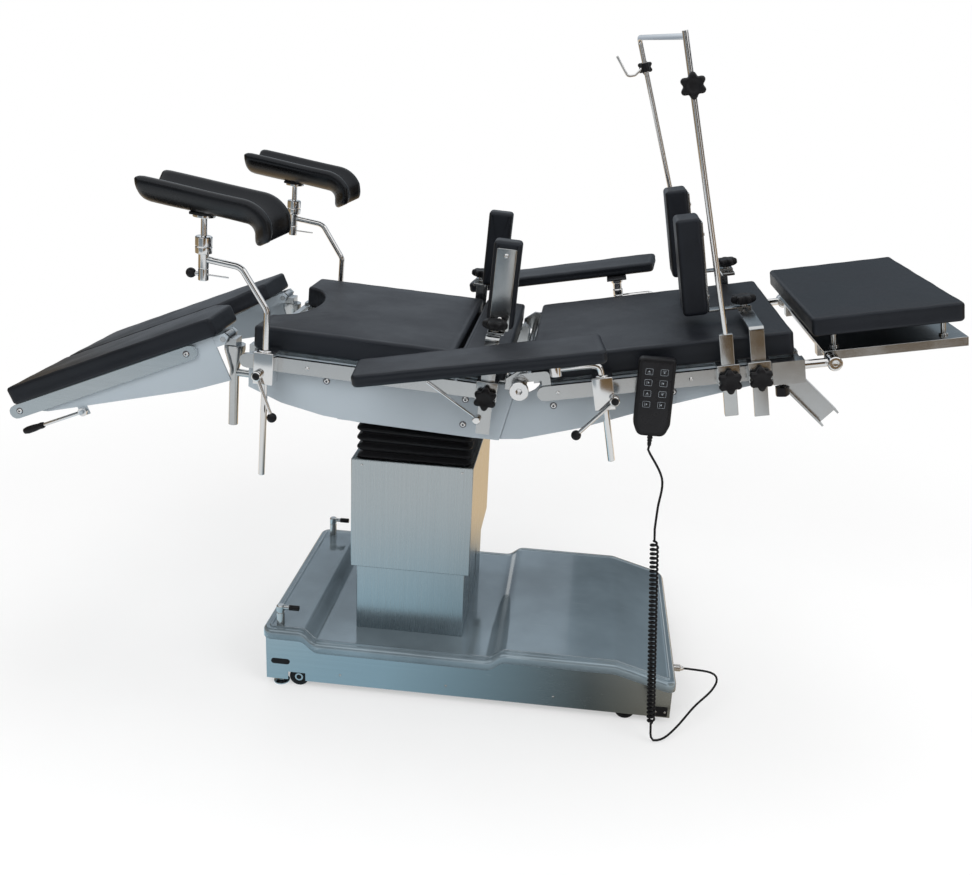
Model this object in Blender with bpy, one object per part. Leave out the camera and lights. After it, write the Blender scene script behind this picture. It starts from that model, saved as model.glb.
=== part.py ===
"""Electric operating table: every piece as its own closed solid, in metres, +Z up.

The head end is at +X, the foot end at -X, and the side with the hand control is at -Y ("front").
The table top has three tilted sections: seat, back and legs. Each section's pieces are drawn in that
section's own frame, whose X runs towards the head, whose Z is square to the cushions, and whose
origin lies on its hinge, and an empty carries that frame to its place.
"""

import math

import bmesh
import bpy
from mathutils import Matrix, Vector

# General fits and counts
GAP = 0.0003            # between pieces that touch
RUN = 0.0005            # between a shaft and its bearing
OVERRUN = 0.004         # how far a cutter passes the wall that it cuts
BITE = 0.002            # how far welded pieces reach into each other
ROUND = 12              # sides of a turned piece
WHEEL_SIDES = 16
FINE = 0.001            # below this a route's change of course counts as none
SHARP = math.radians(35)
SIDES = {"front": -1, "rear": 1}

# The table top's three planes
WAIST_X = 0.228         # waist datum, where the kidney crank's shaft lies, ahead of the column
WAIST_Z = 0.758         # the same datum above the floor
SEAT_TILT = math.radians(3.3)
BACK_TILT = math.radians(-10.7)
LEG_TILT = math.radians(-22.5)
PAD_HALF = 0.250        # half the table's width
PAD_TOP = 0.0555        # top of every cushion above its section's datum
PAD_THICK = 0.050
PAD_EDGE = 0.006        # rounding along a cushion's edges
PAD_CROWN = 0.0025      # how far the middle of a cushion stands above its edges
PAD_WAIST = 0.0012      # how far a cushion's sides are drawn in
PAD_BOTTOM = PAD_TOP - PAD_THICK
DECK_THICK = 0.004
DECK_TOP = PAD_BOTTOM - GAP

# Accessory rails
RAIL_STAND = 0.013      # how far the rail stands off the cushions' edge
RAIL_IN = PAD_HALF + RAIL_STAND
RAIL_THICK = 0.010
RAIL_HIGH = 0.030
RAIL_OUT = RAIL_IN + RAIL_THICK
RAIL_MID = -RAIL_HIGH / 2
STANDOFF_R = 0.006

# Long beams under the cushions and the painted side panels outside them
BEAM_INSET = 0.062
BEAM_THICK = 0.024
BEAM_IN = PAD_HALF - BEAM_INSET
BEAM_OUT = BEAM_IN + BEAM_THICK
BEAM_LOW = -0.040
BEAM_TOP = 0.0009
SHELL_WALL = 0.004
SEAT_SHELL_INSET = 0.0095
BACK_SHELL_INSET = 0.0155
SEAT_SHELL_IN = PAD_HALF - SEAT_SHELL_INSET
BACK_SHELL_IN = PAD_HALF - BACK_SHELL_INSET


# Small builders. Each gives a loose closed mesh object, which fuse() then joins or cuts.

def blank(bm):
    """A closed mesh object from a bmesh, with its faces pointing out."""
    bmesh.ops.recalc_face_normals(bm, faces=bm.faces)
    mesh = bpy.data.meshes.new("blank")
    bm.to_mesh(mesh)
    bm.free()
    piece = bpy.data.objects.new("blank", mesh)
    bpy.context.scene.collection.objects.link(piece)
    return piece


def block(x, y, z):
    """A box between two X, two Y and two Z values."""
    bm = bmesh.new()
    bmesh.ops.create_cube(bm, size=1)
    spans = [sorted(pair) for pair in (x, y, z)]
    size = Vector([high - low for low, high in spans])
    middle = Vector([(high + low) / 2 for low, high in spans])
    bmesh.ops.scale(bm, vec=size, verts=bm.verts)
    bmesh.ops.translate(bm, vec=middle, verts=bm.verts)
    return blank(bm)


def loft(rings):
    """A closed solid through rings of points, with a flat cap on the first and the last ring."""
    bm = bmesh.new()
    loops = [[bm.verts.new(point) for point in ring] for ring in rings]
    for low, high in zip(loops, loops[1:]):
        count = len(low)
        for i in range(count):
            j = (i + 1) % count
            bm.faces.new((low[i], low[j], high[j], high[i]))
    bm.faces.new(loops[0][::-1])
    bm.faces.new(loops[-1])
    return blank(bm)


def lift_point(a, b, depth, axis):
    """A point of a flat outline, placed at a depth along the axis that the outline is square to."""
    if axis == "X":
        return (depth, a, b)
    if axis == "Y":
        return (a, depth, b)
    return (a, b, depth)


def prism(outline, axis, span):
    """A plate: an outline of (x, z), (x, y) or (y, z) points between two depths along an axis."""
    return loft([[lift_point(a, b, depth, axis) for a, b in outline] for depth in sorted(span)])


def circle(centre, radius, sides=ROUND):
    """The points of a round outline."""
    step = 2 * math.pi / sides
    return [
        (centre[0] + radius * math.cos(i * step), centre[1] + radius * math.sin(i * step))
        for i in range(sides)
    ]


def stadium(left, right, middle, radius, sides=6):
    """A bar's outline with both ends round, the end centres at left and right."""
    step = math.pi / sides
    ends = [(right, -math.pi / 2), (left, math.pi / 2)]
    return [
        (end + radius * math.cos(start + i * step), middle + radius * math.sin(start + i * step))
        for end, start in ends
        for i in range(sides + 1)
    ]


def star(centre, radius, lobes=6, dip_share=0.16):
    """A star knob's outline."""
    steps = lobes * 3
    points = []
    for i in range(steps):
        turn = 2 * math.pi * i / steps
        reach = radius * (1 - dip_share * (1 - math.cos(lobes * turn)) / 2)
        points.append((centre[0] + reach * math.cos(turn), centre[1] + reach * math.sin(turn)))
    return points


def rod(start, end, radius, tip=None, sides=ROUND):
    """A round bar between two points, or a cone where the tip has another radius."""
    start, end = Vector(start), Vector(end)
    along = (end - start).normalized()
    turn = along.to_track_quat("Z", "Y")
    rings = []
    for point, reach in ((start, radius), (end, radius if tip is None else tip)):
        rings.append([point + turn @ Vector((x, y, 0)) for x, y in circle((0, 0), reach, sides)])
    return loft(rings)


def lathe(profile, x, y, sides=ROUND):
    """A turned piece about an upright axis, from (radius, height) pairs listed upwards."""
    return loft([[(x + a, y + b, z) for a, b in circle((0, 0), r, sides)] for r, z in profile])


def ball(centre, radius, rows=5, sides=8):
    """A ball as a stack of rings between two small flats."""
    rings = []
    for i in range(rows + 1):
        turn = math.pi * (0.06 + 0.88 * i / rows)
        reach = radius * math.sin(turn)
        height = -radius * math.cos(turn)
        rings.append([(centre[0] + a, centre[1] + b, centre[2] + height)
                      for a, b in circle((0, 0), reach, sides)])
    return loft(rings)


def bend(points, radius, steps=3):
    """A route of straight runs with each corner rounded to a bend radius."""
    points = [Vector(point) for point in points]
    route = [points[0]]
    for before, corner, after in zip(points, points[1:], points[2:]):
        back = (before - corner).normalized()
        on = (after - corner).normalized()
        half = back.angle(on) / 2
        reach = radius / math.tan(half)
        first, last = corner + back * reach, corner + on * reach
        for i in range(steps + 1):
            t = i / steps
            route.append(first * (1 - t) ** 2 + corner * 2 * t * (1 - t) + last * t ** 2)
    route.append(points[-1])
    return route


def tube(points, radius, sides=8):
    """A round tube along a route, whose rings halve each bend so that it keeps its thickness."""
    points = [Vector(point) for point in points]
    runs = [(b - a).normalized() for a, b in zip(points, points[1:])]
    across = runs[0].orthogonal().normalized()
    rings = []
    for i, point in enumerate(points):
        into = runs[max(i - 1, 0)]
        out = runs[min(i, len(runs) - 1)]
        along = (into + out).normalized()
        stretch = 1 / max(along.dot(out), 0.5)
        across = (across - along * across.dot(along)).normalized()
        third = along.cross(across)
        fold = (out - into)
        fold = fold.normalized() if fold.length > FINE else None
        ring = []
        for a, b in circle((0, 0), radius, sides):
            offset = across * a + third * b
            if fold:
                offset += fold * offset.dot(fold) * (stretch - 1)
            ring.append(point + offset)
        rings.append(ring)
    return loft(rings)


def inset(outline, distance):
    """An outline moved inwards by a distance, corner by corner."""
    moved = []
    count = len(outline)
    for i in range(count):
        before = Vector(outline[i - 1])
        corner = Vector(outline[i])
        after = Vector(outline[(i + 1) % count])
        into = (corner - before).normalized()
        out = (after - corner).normalized()
        left_in = Vector((-into.y, into.x))
        left_out = Vector((-out.y, out.x))
        middle = (left_in + left_out).normalized()
        moved.append(tuple(corner + middle * distance / max(middle.dot(left_in), 0.5)))
    return moved


def cushion(outline, bottom, top, edge=PAD_EDGE):
    """A padded slab over an anticlockwise (x, y) outline: round edges, drawn-in sides, a crown."""
    levels = [
        (edge, bottom),
        (0, bottom + edge),
        (PAD_WAIST, (bottom + top - PAD_CROWN) / 2),
        (0, top - PAD_CROWN - edge),
        (edge / 3, top - PAD_CROWN - edge / 4),
        (edge, top - PAD_CROWN),
        (edge * 4, top),
    ]
    return loft([[(x, y, height) for x, y in inset(outline, by)] for by, height in levels])


def fuse(bodies, cuts=()):
    """One closed solid, still loose: the bodies joined, then the cutters taken away."""
    base = bodies[0]
    for tool, kind in [(b, "UNION") for b in bodies[1:]] + [(c, "DIFFERENCE") for c in cuts]:
        step = base.modifiers.new(kind.lower(), "BOOLEAN")
        step.operation = kind
        step.solver = "EXACT"
        step.object = tool
        tool.hide_render = True
        tool.display_type = "WIRE"
    bpy.context.view_layer.update()
    whole = base.evaluated_get(bpy.context.evaluated_depsgraph_get())
    mesh = bpy.data.meshes.new_from_object(whole)
    for piece in [*bodies, *cuts]:
        bpy.data.objects.remove(piece)
    joined = bpy.data.objects.new("joined", mesh)
    bpy.context.scene.collection.objects.link(joined)
    return joined


def finish(name, colour, rough, metal):
    """A material with one colour, roughness and metallic value."""
    found = bpy.data.materials.get(name)
    if found:
        return found
    made = bpy.data.materials.new(name)
    made.use_nodes = True
    surface = made.node_tree.nodes["Principled BSDF"]
    surface.inputs["Base Color"].default_value = (*colour, 1)
    surface.inputs["Roughness"].default_value = rough
    surface.inputs["Metallic"].default_value = metal
    return made


def steel():
    return finish("polished_steel", (0.62, 0.62, 0.60), 0.18, 1)


def chrome():
    return finish("chrome", (0.80, 0.80, 0.80), 0.08, 1)


def brushed():
    return finish("brushed_steel", (0.55, 0.57, 0.58), 0.32, 1)


def paint():
    return finish("pale_paint", (0.56, 0.66, 0.72), 0.35, 0)


def shell_plastic():
    return finish("base_cover_steel_blue", (0.33, 0.42, 0.46), 0.22, 0)


def leather():
    return finish("charcoal_leather", (0.020, 0.021, 0.025), 0.45, 0)


def black():
    return finish("black_plastic", (0.010, 0.010, 0.011), 0.40, 0)


def rubber():
    return finish("black_rubber", (0.012, 0.012, 0.012), 0.70, 0)


def iron():
    return finish("painted_iron", (0.10, 0.10, 0.11), 0.55, 0)


def node(name, piece, frame, pivot, material):
    """Names a piece, puts its origin on its pivot in its section's frame, and shades it."""
    mesh = piece.data
    mesh.transform(Matrix.Translation(-Vector(pivot)))
    mesh.name = name
    mesh.materials.clear()
    mesh.materials.append(material)
    mesh.shade_smooth()
    mesh.set_sharp_from_angle(angle=SHARP)
    piece.name = name
    piece.parent = frame
    piece.location = pivot
    return piece


def frame_at(name, parent, x, z, tilt, y=0):
    """An empty that carries one section's frame."""
    empty = bpy.data.objects.new(name, None)
    bpy.context.scene.collection.objects.link(empty)
    empty.parent = parent
    empty.location = (x, y, z)
    empty.rotation_euler = (0, tilt, 0)
    return empty


def span(side, inner, outer):
    """Two Y values on one side of the table's middle plane."""
    return (side * inner, side * outer)


def both(inner, outer):
    """The Y spans of a mirrored pair."""
    return [span(side, inner, outer) for side in SIDES.values()]


def seat_place(x, z):
    """A floor-frame (x, z) place in the seat section's frame."""
    dx, dz = x - WAIST_X, z - WAIST_Z
    sin, cos = math.sin(SEAT_TILT), math.cos(SEAT_TILT)
    return dx * cos - dz * sin, dx * sin + dz * cos


def seat_to_back(x, z):
    """A seat-frame (x, z) place in the back section's frame, which shares its origin."""
    turn = SEAT_TILT - BACK_TILT
    sin, cos = math.sin(turn), math.cos(turn)
    return x * cos + z * sin, z * cos - x * sin


# Base

BASE_LEFT = -0.310
BASE_RIGHT = 0.598
BASE_HALF = 0.252
SKIRT_BOTTOM = 0.020
SHEET = 0.003
LIP = 0.008             # how far the cover's rim stands outside the skirt
COVER_WALL = 0.004
RIM_HIGH = 0.022
PLATEAU_TOP = 0.148
VALLEY_TOP = 0.122
HUMP_TOP = 0.144
TAIL_TOP = 0.106
PLATEAU_END = -0.224
VALLEY_START = -0.197
VALLEY_END = 0.196
HUMP_START = 0.223
HUMP_END = 0.470

WHEEL_R = 0.022
WHEEL_INSET = 0.009
WHEEL_WIDE = 0.028
WHEEL_OUT = BASE_HALF - WHEEL_INSET
WHEEL_IN = WHEEL_OUT - WHEEL_WIDE
WHEEL_TREAD = 0.004
AXLE_R = 0.006
AXLE_LEFT = -0.238
AXLE_RIGHT = 0.500
HANGER_GAP = 0.009
HANGER_WIDE = 0.012
HANGER_OUT = WHEEL_IN - HANGER_GAP
HANGER_IN = HANGER_OUT - HANGER_WIDE
HANGER_HALF = 0.014
HANGER_LOW = 0.011

CHASSIS_LOW = 0.052
CHASSIS_TOP = 0.060
NOTCH_HIGH = 0.040

LOCK_X = -0.282
LOCK_INSET = 0.024
LOCK_Y = BASE_HALF - LOCK_INSET
LOCK_R = 0.006
LOCK_TOP = 0.196
LOCK_POST_R = 0.009
LOCK_LEVER = 0.042
LOCK_LEVER_R = 0.006
FOOT_R = 0.018
FOOT_HIGH = 0.006
BOSS_R = 0.012
BOSS_TOP = 0.085

POWER_LEFT = 0.260
POWER_RIGHT = 0.480
POWER_HALF = 0.150
POWER_TOP = 0.122

PLUG_Y = -0.130
PLUG_Z = 0.070
PLUG_R = 0.0075
PLUG_LONG = 0.036
PLUG_NUT_R = 0.011
PLUG_NUT = 0.006

# Column
MAST_HALF_X = 0.045
MAST_HALF_Y = 0.060
MAST_LOW = 0.190
MAST_TOP = 0.640
GUIDE_WALL = 0.014
GUIDE_TOP = 0.400
LOWER_HALF_X = 0.123
LOWER_HALF_Y = 0.170
LOWER_TOP = 0.420
UPPER_HALF_X = 0.134
UPPER_HALF_Y = 0.182
UPPER_LOW = 0.284
UPPER_TOP = 0.542
HEAD_PLATE = 0.004
FLANGE_HALF_X = 0.100
FLANGE_HALF_Y = 0.130
FLANGE_THICK = 0.008
COVER_MARGIN = 0.012    # how far the column's cover overlaps the opening below it
TILT_Z = 0.690          # height of the cross joint that the top tilts on
EAR_THICK = 0.016
EAR_HALF = 0.025
EAR_RISE = 0.025
CROSS_HALF_X = 0.030
CROSS_HALF_Z = 0.022
CROSS_PIN_R = 0.012
CROSS_PIN_X = 0.080
CROSS_PIN_Y = 0.066
WEB_NEAR = 0.062        # the webs that hang on the cross joint's long pin
WEB_THICK = 0.012
WEB_LOW = -0.105
WEB_TOP = -0.008

BELLOWS_HALF_X = 0.125
BELLOWS_HALF_Y = 0.170
PLEAT = 0.013
PLEATS = 5
BELLOWS_WALL = 0.006

# Seat section
SEAT_LEFT = -0.551
SEAT_RIGHT = -0.136
NOTCH_HALF = 0.140
NOTCH_DEEP = 0.070
KIDNEY_LEFT = -0.128
KIDNEY_RIGHT = -0.032
SEAT_RAIL_LEFT = -0.571
SEAT_RAIL_RIGHT = -0.058
SEAT_BEAM_RIGHT = -0.014
SEAT_END_THICK = 0.012
SEAT_STANDOFFS = (-0.430, -0.270, -0.112)
BELLY_LOW = -0.126
BELLY_LEFT = -0.370
BELLY_RIGHT = -0.085
BELLY_HOLE_X = 0.085
BELLY_HOLE_Y = 0.105
SEAT_SHELL_TOP = -0.0035
SEAT_SHELL_LEFT = -0.560
SEAT_SHELL_BOW = ((-0.560, -0.080), (-0.489, -0.106), (-0.400, -0.122), (-0.327, -0.126))
SEAT_SHELL_HEEL = (-0.031, -0.124)
SEAT_SHELL_JOINT = (-0.0115, -0.023)
BACK_PIVOT_X = 0.002    # hinge of the back section, in the seat's frame
BACK_PIVOT_Z = 0.022
HINGE_GAP = 0.0015
HINGE_IN = PAD_HALF + HINGE_GAP
HINGE_THICK = 0.008
HINGE_PIN_R = 0.006
HINGE_EYE_R = 0.009
SEAT_EAR = ((-0.030, -0.008), (0.008, -0.008), (0.013, 0.004), (0.013, 0.027), (0.008, 0.034),
            (-0.006, 0.034), (-0.030, 0.014))
SHAFT_R = 0.007
HUB_R = 0.019
HUB_THICK = 0.016
HUB_HEX_R = 0.006
HUB_HEX_DEEP = 0.008
EAR_ROD_X = -0.022
EAR_ROD_Z = 0.006
KIDNEY_LEG_X = -0.080
KIDNEY_LEG_INSET = 0.038
KIDNEY_LEG_Y = BEAM_IN - KIDNEY_LEG_INSET
KIDNEY_LEG_HALF = 0.006
KIDNEY_LEG_LOW = -0.104
GUIDE_BAR_HALF = 0.015
GUIDE_BAR_TOP = -0.020

# Leg sockets and leg plates
SOCKET_X = -0.606
SOCKET_INSET = 0.050
SOCKET_Y = PAD_HALF - SOCKET_INSET
SOCKET_TOP = -0.006
SOCKET_RIM = 0.012
SOCKET_R = 0.022
SOCKET_NECK = -0.060
SOCKET_TUBE_R = 0.0100
SOCKET_LOW = -0.185
SOCKET_STUB_Z = -0.068
SOCKET_STUB_R = 0.008
LEG_PIN_R = 0.006
LEG_PIN_LOW = -0.170
KNEE_X = -0.6216        # the leg's pitch hinge, in the seat's frame
KNEE_Z = 0.0092
KNEE_EYE_R = 0.011
KNEE_PIN_R = 0.006
KNUCKLE_HALF = 0.017
KNUCKLE_EAR = SOCKET_R + 0.0008     # the plate's ears swing past the funnel outside its rim
LEG_EAR = 0.008
LEG_FOOT = -0.492
LEG_KNEE = -0.001
LEG_PAD_THICK = 0.042
LEG_PAD_IN = 0.004
LEG_CHAMFER_INSET = 0.140
LEG_CHAMFER_Y = PAD_HALF - LEG_CHAMFER_INSET
LEG_CHAMFER_X = -0.085
LEG_DECK_END = -0.065
LEG_DECK_THICK = 0.003
LEG_SHELL_INSET = 0.0185
LEG_SHELL_OUT = PAD_HALF - LEG_SHELL_INSET
LEG_SHELL_WALL = 0.004
LEG_RIB_IN = 0.022
LEG_BAR_LEFT = -0.499
LEG_BAR_RIGHT = -0.074
LEG_BAR_Z = -0.0025
LEG_BAR_R = 0.015
LEG_BAR_THICK = 0.009
LEG_SHELL_LOW = ((-0.436, -0.024), (-0.104, -0.0805), (-0.0195, -0.086))
LEVER_X = -0.358
LEVER_Z = -0.048
LEVER_INSET = 0.0035
LEVER_Y = PAD_HALF - LEVER_INSET
LEVER_R = 0.004
LEVER_GRIP_R = 0.008
LEVER_GRIP = 0.048
LEVER_LONG = 0.100
LEVER_EYE_R = 0.010
LEVER_EYE_THICK = 0.008
LEVER_BOSS_R = 0.0045

# Back section
BACK_LEFT = 0.024
BACK_RIGHT = 0.5375
BACK_BEAM_LEFT = 0.036
BACK_BEAM_RIGHT = 0.549
BACK_RAIL_LEFT = 0.033
BACK_STANDOFFS = (0.075, 0.335)
BACK_WEBS = ((0.115, -0.062), (0.400, -0.045))
BACK_SHELL_LOW = ((-0.016, -0.117), (0.111, -0.1055), (0.226, -0.0845), (0.349, -0.066), (0.535, -0.040))
BACK_CLEAR_R = 0.040    # the back's panel keeps this far from the hinge
STRAP_LEFT = 0.100
STRAP_RIGHT = 0.220
STRAP_Z = -0.076
END_BLOCK_LEFT = 0.488
END_BLOCK_TOP = 0.004
END_BLOCK_LOW = -0.041
END_BLOCK_GAP = 0.0035
END_BLOCK_WIDE = 0.030
END_BLOCK_IN = PAD_HALF + END_BLOCK_GAP
END_BLOCK_OUT = END_BLOCK_IN + END_BLOCK_WIDE
CHANNEL_TOP = (0.520, -0.045)
CHANNEL_END = (0.612, -0.160)
CHANNEL_HALF = 0.022
CHANNEL_WALL = 0.004
CHANNEL_Y = -0.150
CHANNEL_WIDE = 0.030
HEAD_LOCK_X = 0.506
HEAD_LOCK_R = 0.014
HEAD_LOCK_HIGH = 0.016
HEAD_LOCK_STEM = 0.010

# Head section
ROD_R = 0.0085
ROD_Z = -0.010
ROD_LEFT = 0.494
HEAD_PIVOT_X = 0.604
HEAD_KNOB_R = 0.014
HEAD_KNOB_GAP = 0.002
HEAD_KNOB_WIDE = 0.036
HEAD_KNOB_IN = PAD_HALF + HEAD_KNOB_GAP
HEAD_KNOB_OUT = HEAD_KNOB_IN + HEAD_KNOB_WIDE
TRAY_LEFT = 0.592
TRAY_RIGHT = 0.858
TRAY_INSET = 0.004
TRAY_HALF = PAD_HALF - TRAY_INSET
TRAY_TOP = 0.005
TRAY_SHEET = 0.003
TRAY_FLANGE = 0.018
HEAD_PAD_LEFT = 0.573
HEAD_PAD_RIGHT = 0.852
HEAD_PAD_TOP = 0.076
HEAD_PAD_THICK = 0.040
HEAD_POST_X = (0.618, 0.822)
HEAD_POST_INSET = 0.031
HEAD_POST_Y = TRAY_HALF - HEAD_POST_INSET
HEAD_POST_R = 0.005
LUG_INSET = 0.076
LUG_Y = TRAY_HALF - LUG_INSET
LUG_HALF = 0.012

# Rail clamps, shared by the accessories
HOOK_THICK = 0.008
HOOK_LIP = 0.0085
LINE_STAND = 0.0205     # the upright posts stand in a line outside the rail
LINE_Y = RAIL_OUT + LINE_STAND
CLAMP_WALL = 0.0145
CLAMP_FRONT = LINE_Y + CLAMP_WALL
CLAMP_TOP = 0.016
CLAMP_LOW = -0.050
CLAMP_HALF = 0.020
FLAT_THICK = 0.006      # flat bars of the pad holders
FLAT_HALF = 0.014
FLAT_LOW = -0.102
JAW_HALF = 0.0215
JAW_THICK = 0.0155
JAW_OUT = RAIL_OUT + JAW_THICK
JAW_TOP = 0.010
JAW_LOW = -0.030
STAR_R = 0.024
STAR_THICK = 0.017
STAR_STEM = 0.004
STAR_STEM_R = 0.008
STAR_DROP = -0.020

# Arm boards
ARM_X = 0.165           # the front post, in the back's frame
ARM_REAR_SHIFT = 0.133  # the rear one stands further towards the head
ARM_POST_R = 0.007
ARM_POST_LOW = -0.160
ARM_BEND_Z = 0.040
ARM_HEAD_X = 0.078
ARM_HEAD_R = 0.012
ARM_HEAD_LOW = 0.026
ARM_BEND_R = 0.016
ARM_TOP = 0.114
ARM_THICK = 0.027
ARM_PLATE = 0.003
ARM_LEFT = -0.285
ARM_RIGHT = 0.185
ARM_STAND = 0.0325
ARM_WIDE = 0.136
ARM_IN = LINE_Y + ARM_STAND
ARM_OUT = ARM_IN + ARM_WIDE
ARM_TAPER = 0.014
ARM_LEVER_Z = -0.030
ARM_LEVER_END = (-0.082, -0.092)
ARM_BALL_R = 0.010
COLLAR_R = 0.010
COLLAR = 0.016

# Leg crutches
CRUTCH_X = -0.510       # the pole, in the seat's frame
CRUTCH_POLE_R = 0.0065
CRUTCH_LOW = -0.250
CRUTCH_BEND = (-0.510, 0.100)
CRUTCH_KNEE = (-0.565, 0.180)
CRUTCH_END = -0.640
CRUTCH_TOP = 0.187
CRUTCH_BEND_R = 0.020
SWIVEL_LOW = 0.145
SWIVEL_MID = 0.197
SWIVEL_TOP = 0.231
SWIVEL_R = 0.010
SWIVEL_CUP_R = 0.014
SWIVEL_STEM_R = 0.006
SWIVEL_STEM_TOP = 0.268
SWIVEL_DISC_R = 0.022
SWIVEL_DISC = 0.006
SWIVEL_BALL_X = -0.665
SWIVEL_BALL_Z = 0.157
SWIVEL_BALL_R = 0.010
GUTTER_LEFT = -0.755
GUTTER_RIGHT = -0.548
GUTTER_Z = SWIVEL_STEM_TOP + SWIVEL_DISC + GAP
GUTTER_DROOP = math.radians(6)
GUTTER_KNEE_R = 0.018
GUTTER_KNEE_TURN = math.radians(82)
GUTTER_KNEE_TILT = math.radians(60)
GUTTER_KNEE_END = 0.026
GUTTER_WALL = 0.024
GUTTER_R = 0.058
GUTTER_ARC = math.radians(66)
CRUTCH_LEVER_END = (0.024, -0.114)
CRUTCH_BALL_Z = -0.030
CRUTCH_BALL_X = -0.030

# Side supports: hips on the seat's rails, shoulders on the back's rails
HIP_X = {"front": -0.064, "rear": -0.146}
HIP_PAD_SHIFT = {"front": 0.006, "rear": 0.036}
HIP_BAR_Z = 0.100
HIP_KNOB_INSET = 0.007
HIP_PAD_REACH = 0.069
HIP_KNOB_Y = PAD_HALF - HIP_KNOB_INSET
HIP_PAD_IN = HIP_KNOB_Y - HIP_PAD_REACH
HIP_PAD_THICK = 0.045
HIP_PAD_HALF = 0.028
SUPPORT_HIGH = 0.180
SLOT_HALF = 0.0045
SLOT_REACH = 0.032
STUD_R = 0.004
FOOT_THICK = 0.004
PLATE_HALF = 0.020
PLATE_DROP = 0.014
TOP_STAR_R = 0.026
TOP_STAR = 0.018
TOP_STAR_STEM = 0.004
SHOULDER_X = 0.464
SHOULDER_BAR_Z = {"front": 0.077, "rear": 0.104}
SHOULDER_KNOB_Y = {"front": 0.110, "rear": 0.165}
SHOULDER_PAD_RIGHT = 0.390
SHOULDER_PAD_THICK = 0.052
SHOULDER_PAD_HALF = 0.045
SHOULDER_HIGH = 0.200
STAY_START = (-0.078, -0.072)
STAY_END = (-0.187, -0.008)
STAY_R = 0.0028
STAY_EYE_R = 0.008

# Anaesthesia screen
SCREEN_X = 0.406
SCREEN_FLAT_HALF = 0.013
SCREEN_FLAT_THICK = 0.012
SCREEN_FLAT_TOP = 0.070
SCREEN_FLAT_LOW = -0.094
SCREEN_R = 0.0055
SCREEN_TOP = 0.620
SCREEN_LEAN = -0.030
SCREEN_REAR_X = 0.386
SCREEN_REAR_TOP = 0.642
SCREEN_REAR_LEAN = -0.066
SCREEN_BEND_R = 0.012
SCREEN_KNOB_Z = 0.530
SCREEN_KNOB_R = 0.024
SCREEN_KNOB = 0.018
SCREEN_COLLAR_R = 0.010
SCREEN_COLLAR = 0.022
HOOK_Z = 0.575
HOOK_KNOB_R = 0.018
HOOK_KNOB = 0.014
HOOK_WIRE_R = 0.003
HOOK_REACH = 0.062
HOOK_RISE = 0.034
HOOK_DIP = 0.014
HOOK_BOW_SHARES = (0.4, 0.68)
HOOK_COLLAR_HIGH = 0.020

# Hand control and its lead
HAND_X = 0.268          # where it hangs on the back's rail
HAND_HALF = 0.036
HAND_THICK = 0.024
HAND_TOP = 0.040
HAND_LOW = -0.118
HAND_ROUND = 0.010
HAND_CHIN = 0.026
HAND_HOOK_HALF = 0.014
RELIEF_R = 0.0055
RELIEF_TIP = 0.0035
RELIEF_LONG = 0.024
CORD_R = 0.0024
CURL_R = 0.0072         # from the curl's axis to the middle of the cord
CURL_PITCH = 0.0098
CURL_POINTS = 8
CURL_FOOT = (0.553, -0.312, 0.030)
CURL_HEAD = (0.519, -0.300, 0.484)
CORD_STRAIGHT = 0.010   # how far the cord runs straight out of what it meets
LEAD_CORNERS = ((0.523, -0.292, 0.600), (0.520, -0.297, 0.540))
TAIL_CORNERS = (
    (0.560, -0.314, 0.006),
    (0.584, -0.305, 0.008),
    (0.612, -0.283, 0.024),
    (0.650, -0.243, 0.050),
    (0.690, -0.196, 0.062),
    (0.706, -0.160, 0.069),
    (0.694, -0.136, 0.070),
)
LEAD_POINTS = 14
TAIL_POINTS = 30


def deck_height(x):
    """The base cover's top at an X: plateau, valley, hump and sloping tail, joined by ramps."""
    line = [
        (BASE_LEFT - LIP, PLATEAU_TOP),
        (PLATEAU_END, PLATEAU_TOP),
        (VALLEY_START, VALLEY_TOP),
        (VALLEY_END, VALLEY_TOP),
        (HUMP_START, HUMP_TOP),
        (HUMP_END, HUMP_TOP),
        (BASE_RIGHT + LIP, TAIL_TOP),
    ]
    for (x0, z0), (x1, z1) in zip(line, line[1:]):
        if x <= x1:
            return z0 + (z1 - z0) * (x - x0) / (x1 - x0)
    return TAIL_TOP


def deck_line(left, right, drop):
    """The cover's top line between two X values, lowered by a drop."""
    turns = [PLATEAU_END, VALLEY_START, VALLEY_END, HUMP_START, HUMP_END]
    xs = [left, *[x for x in turns if left < x < right], right]
    return [(x, deck_height(x) - drop) for x in xs]


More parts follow.
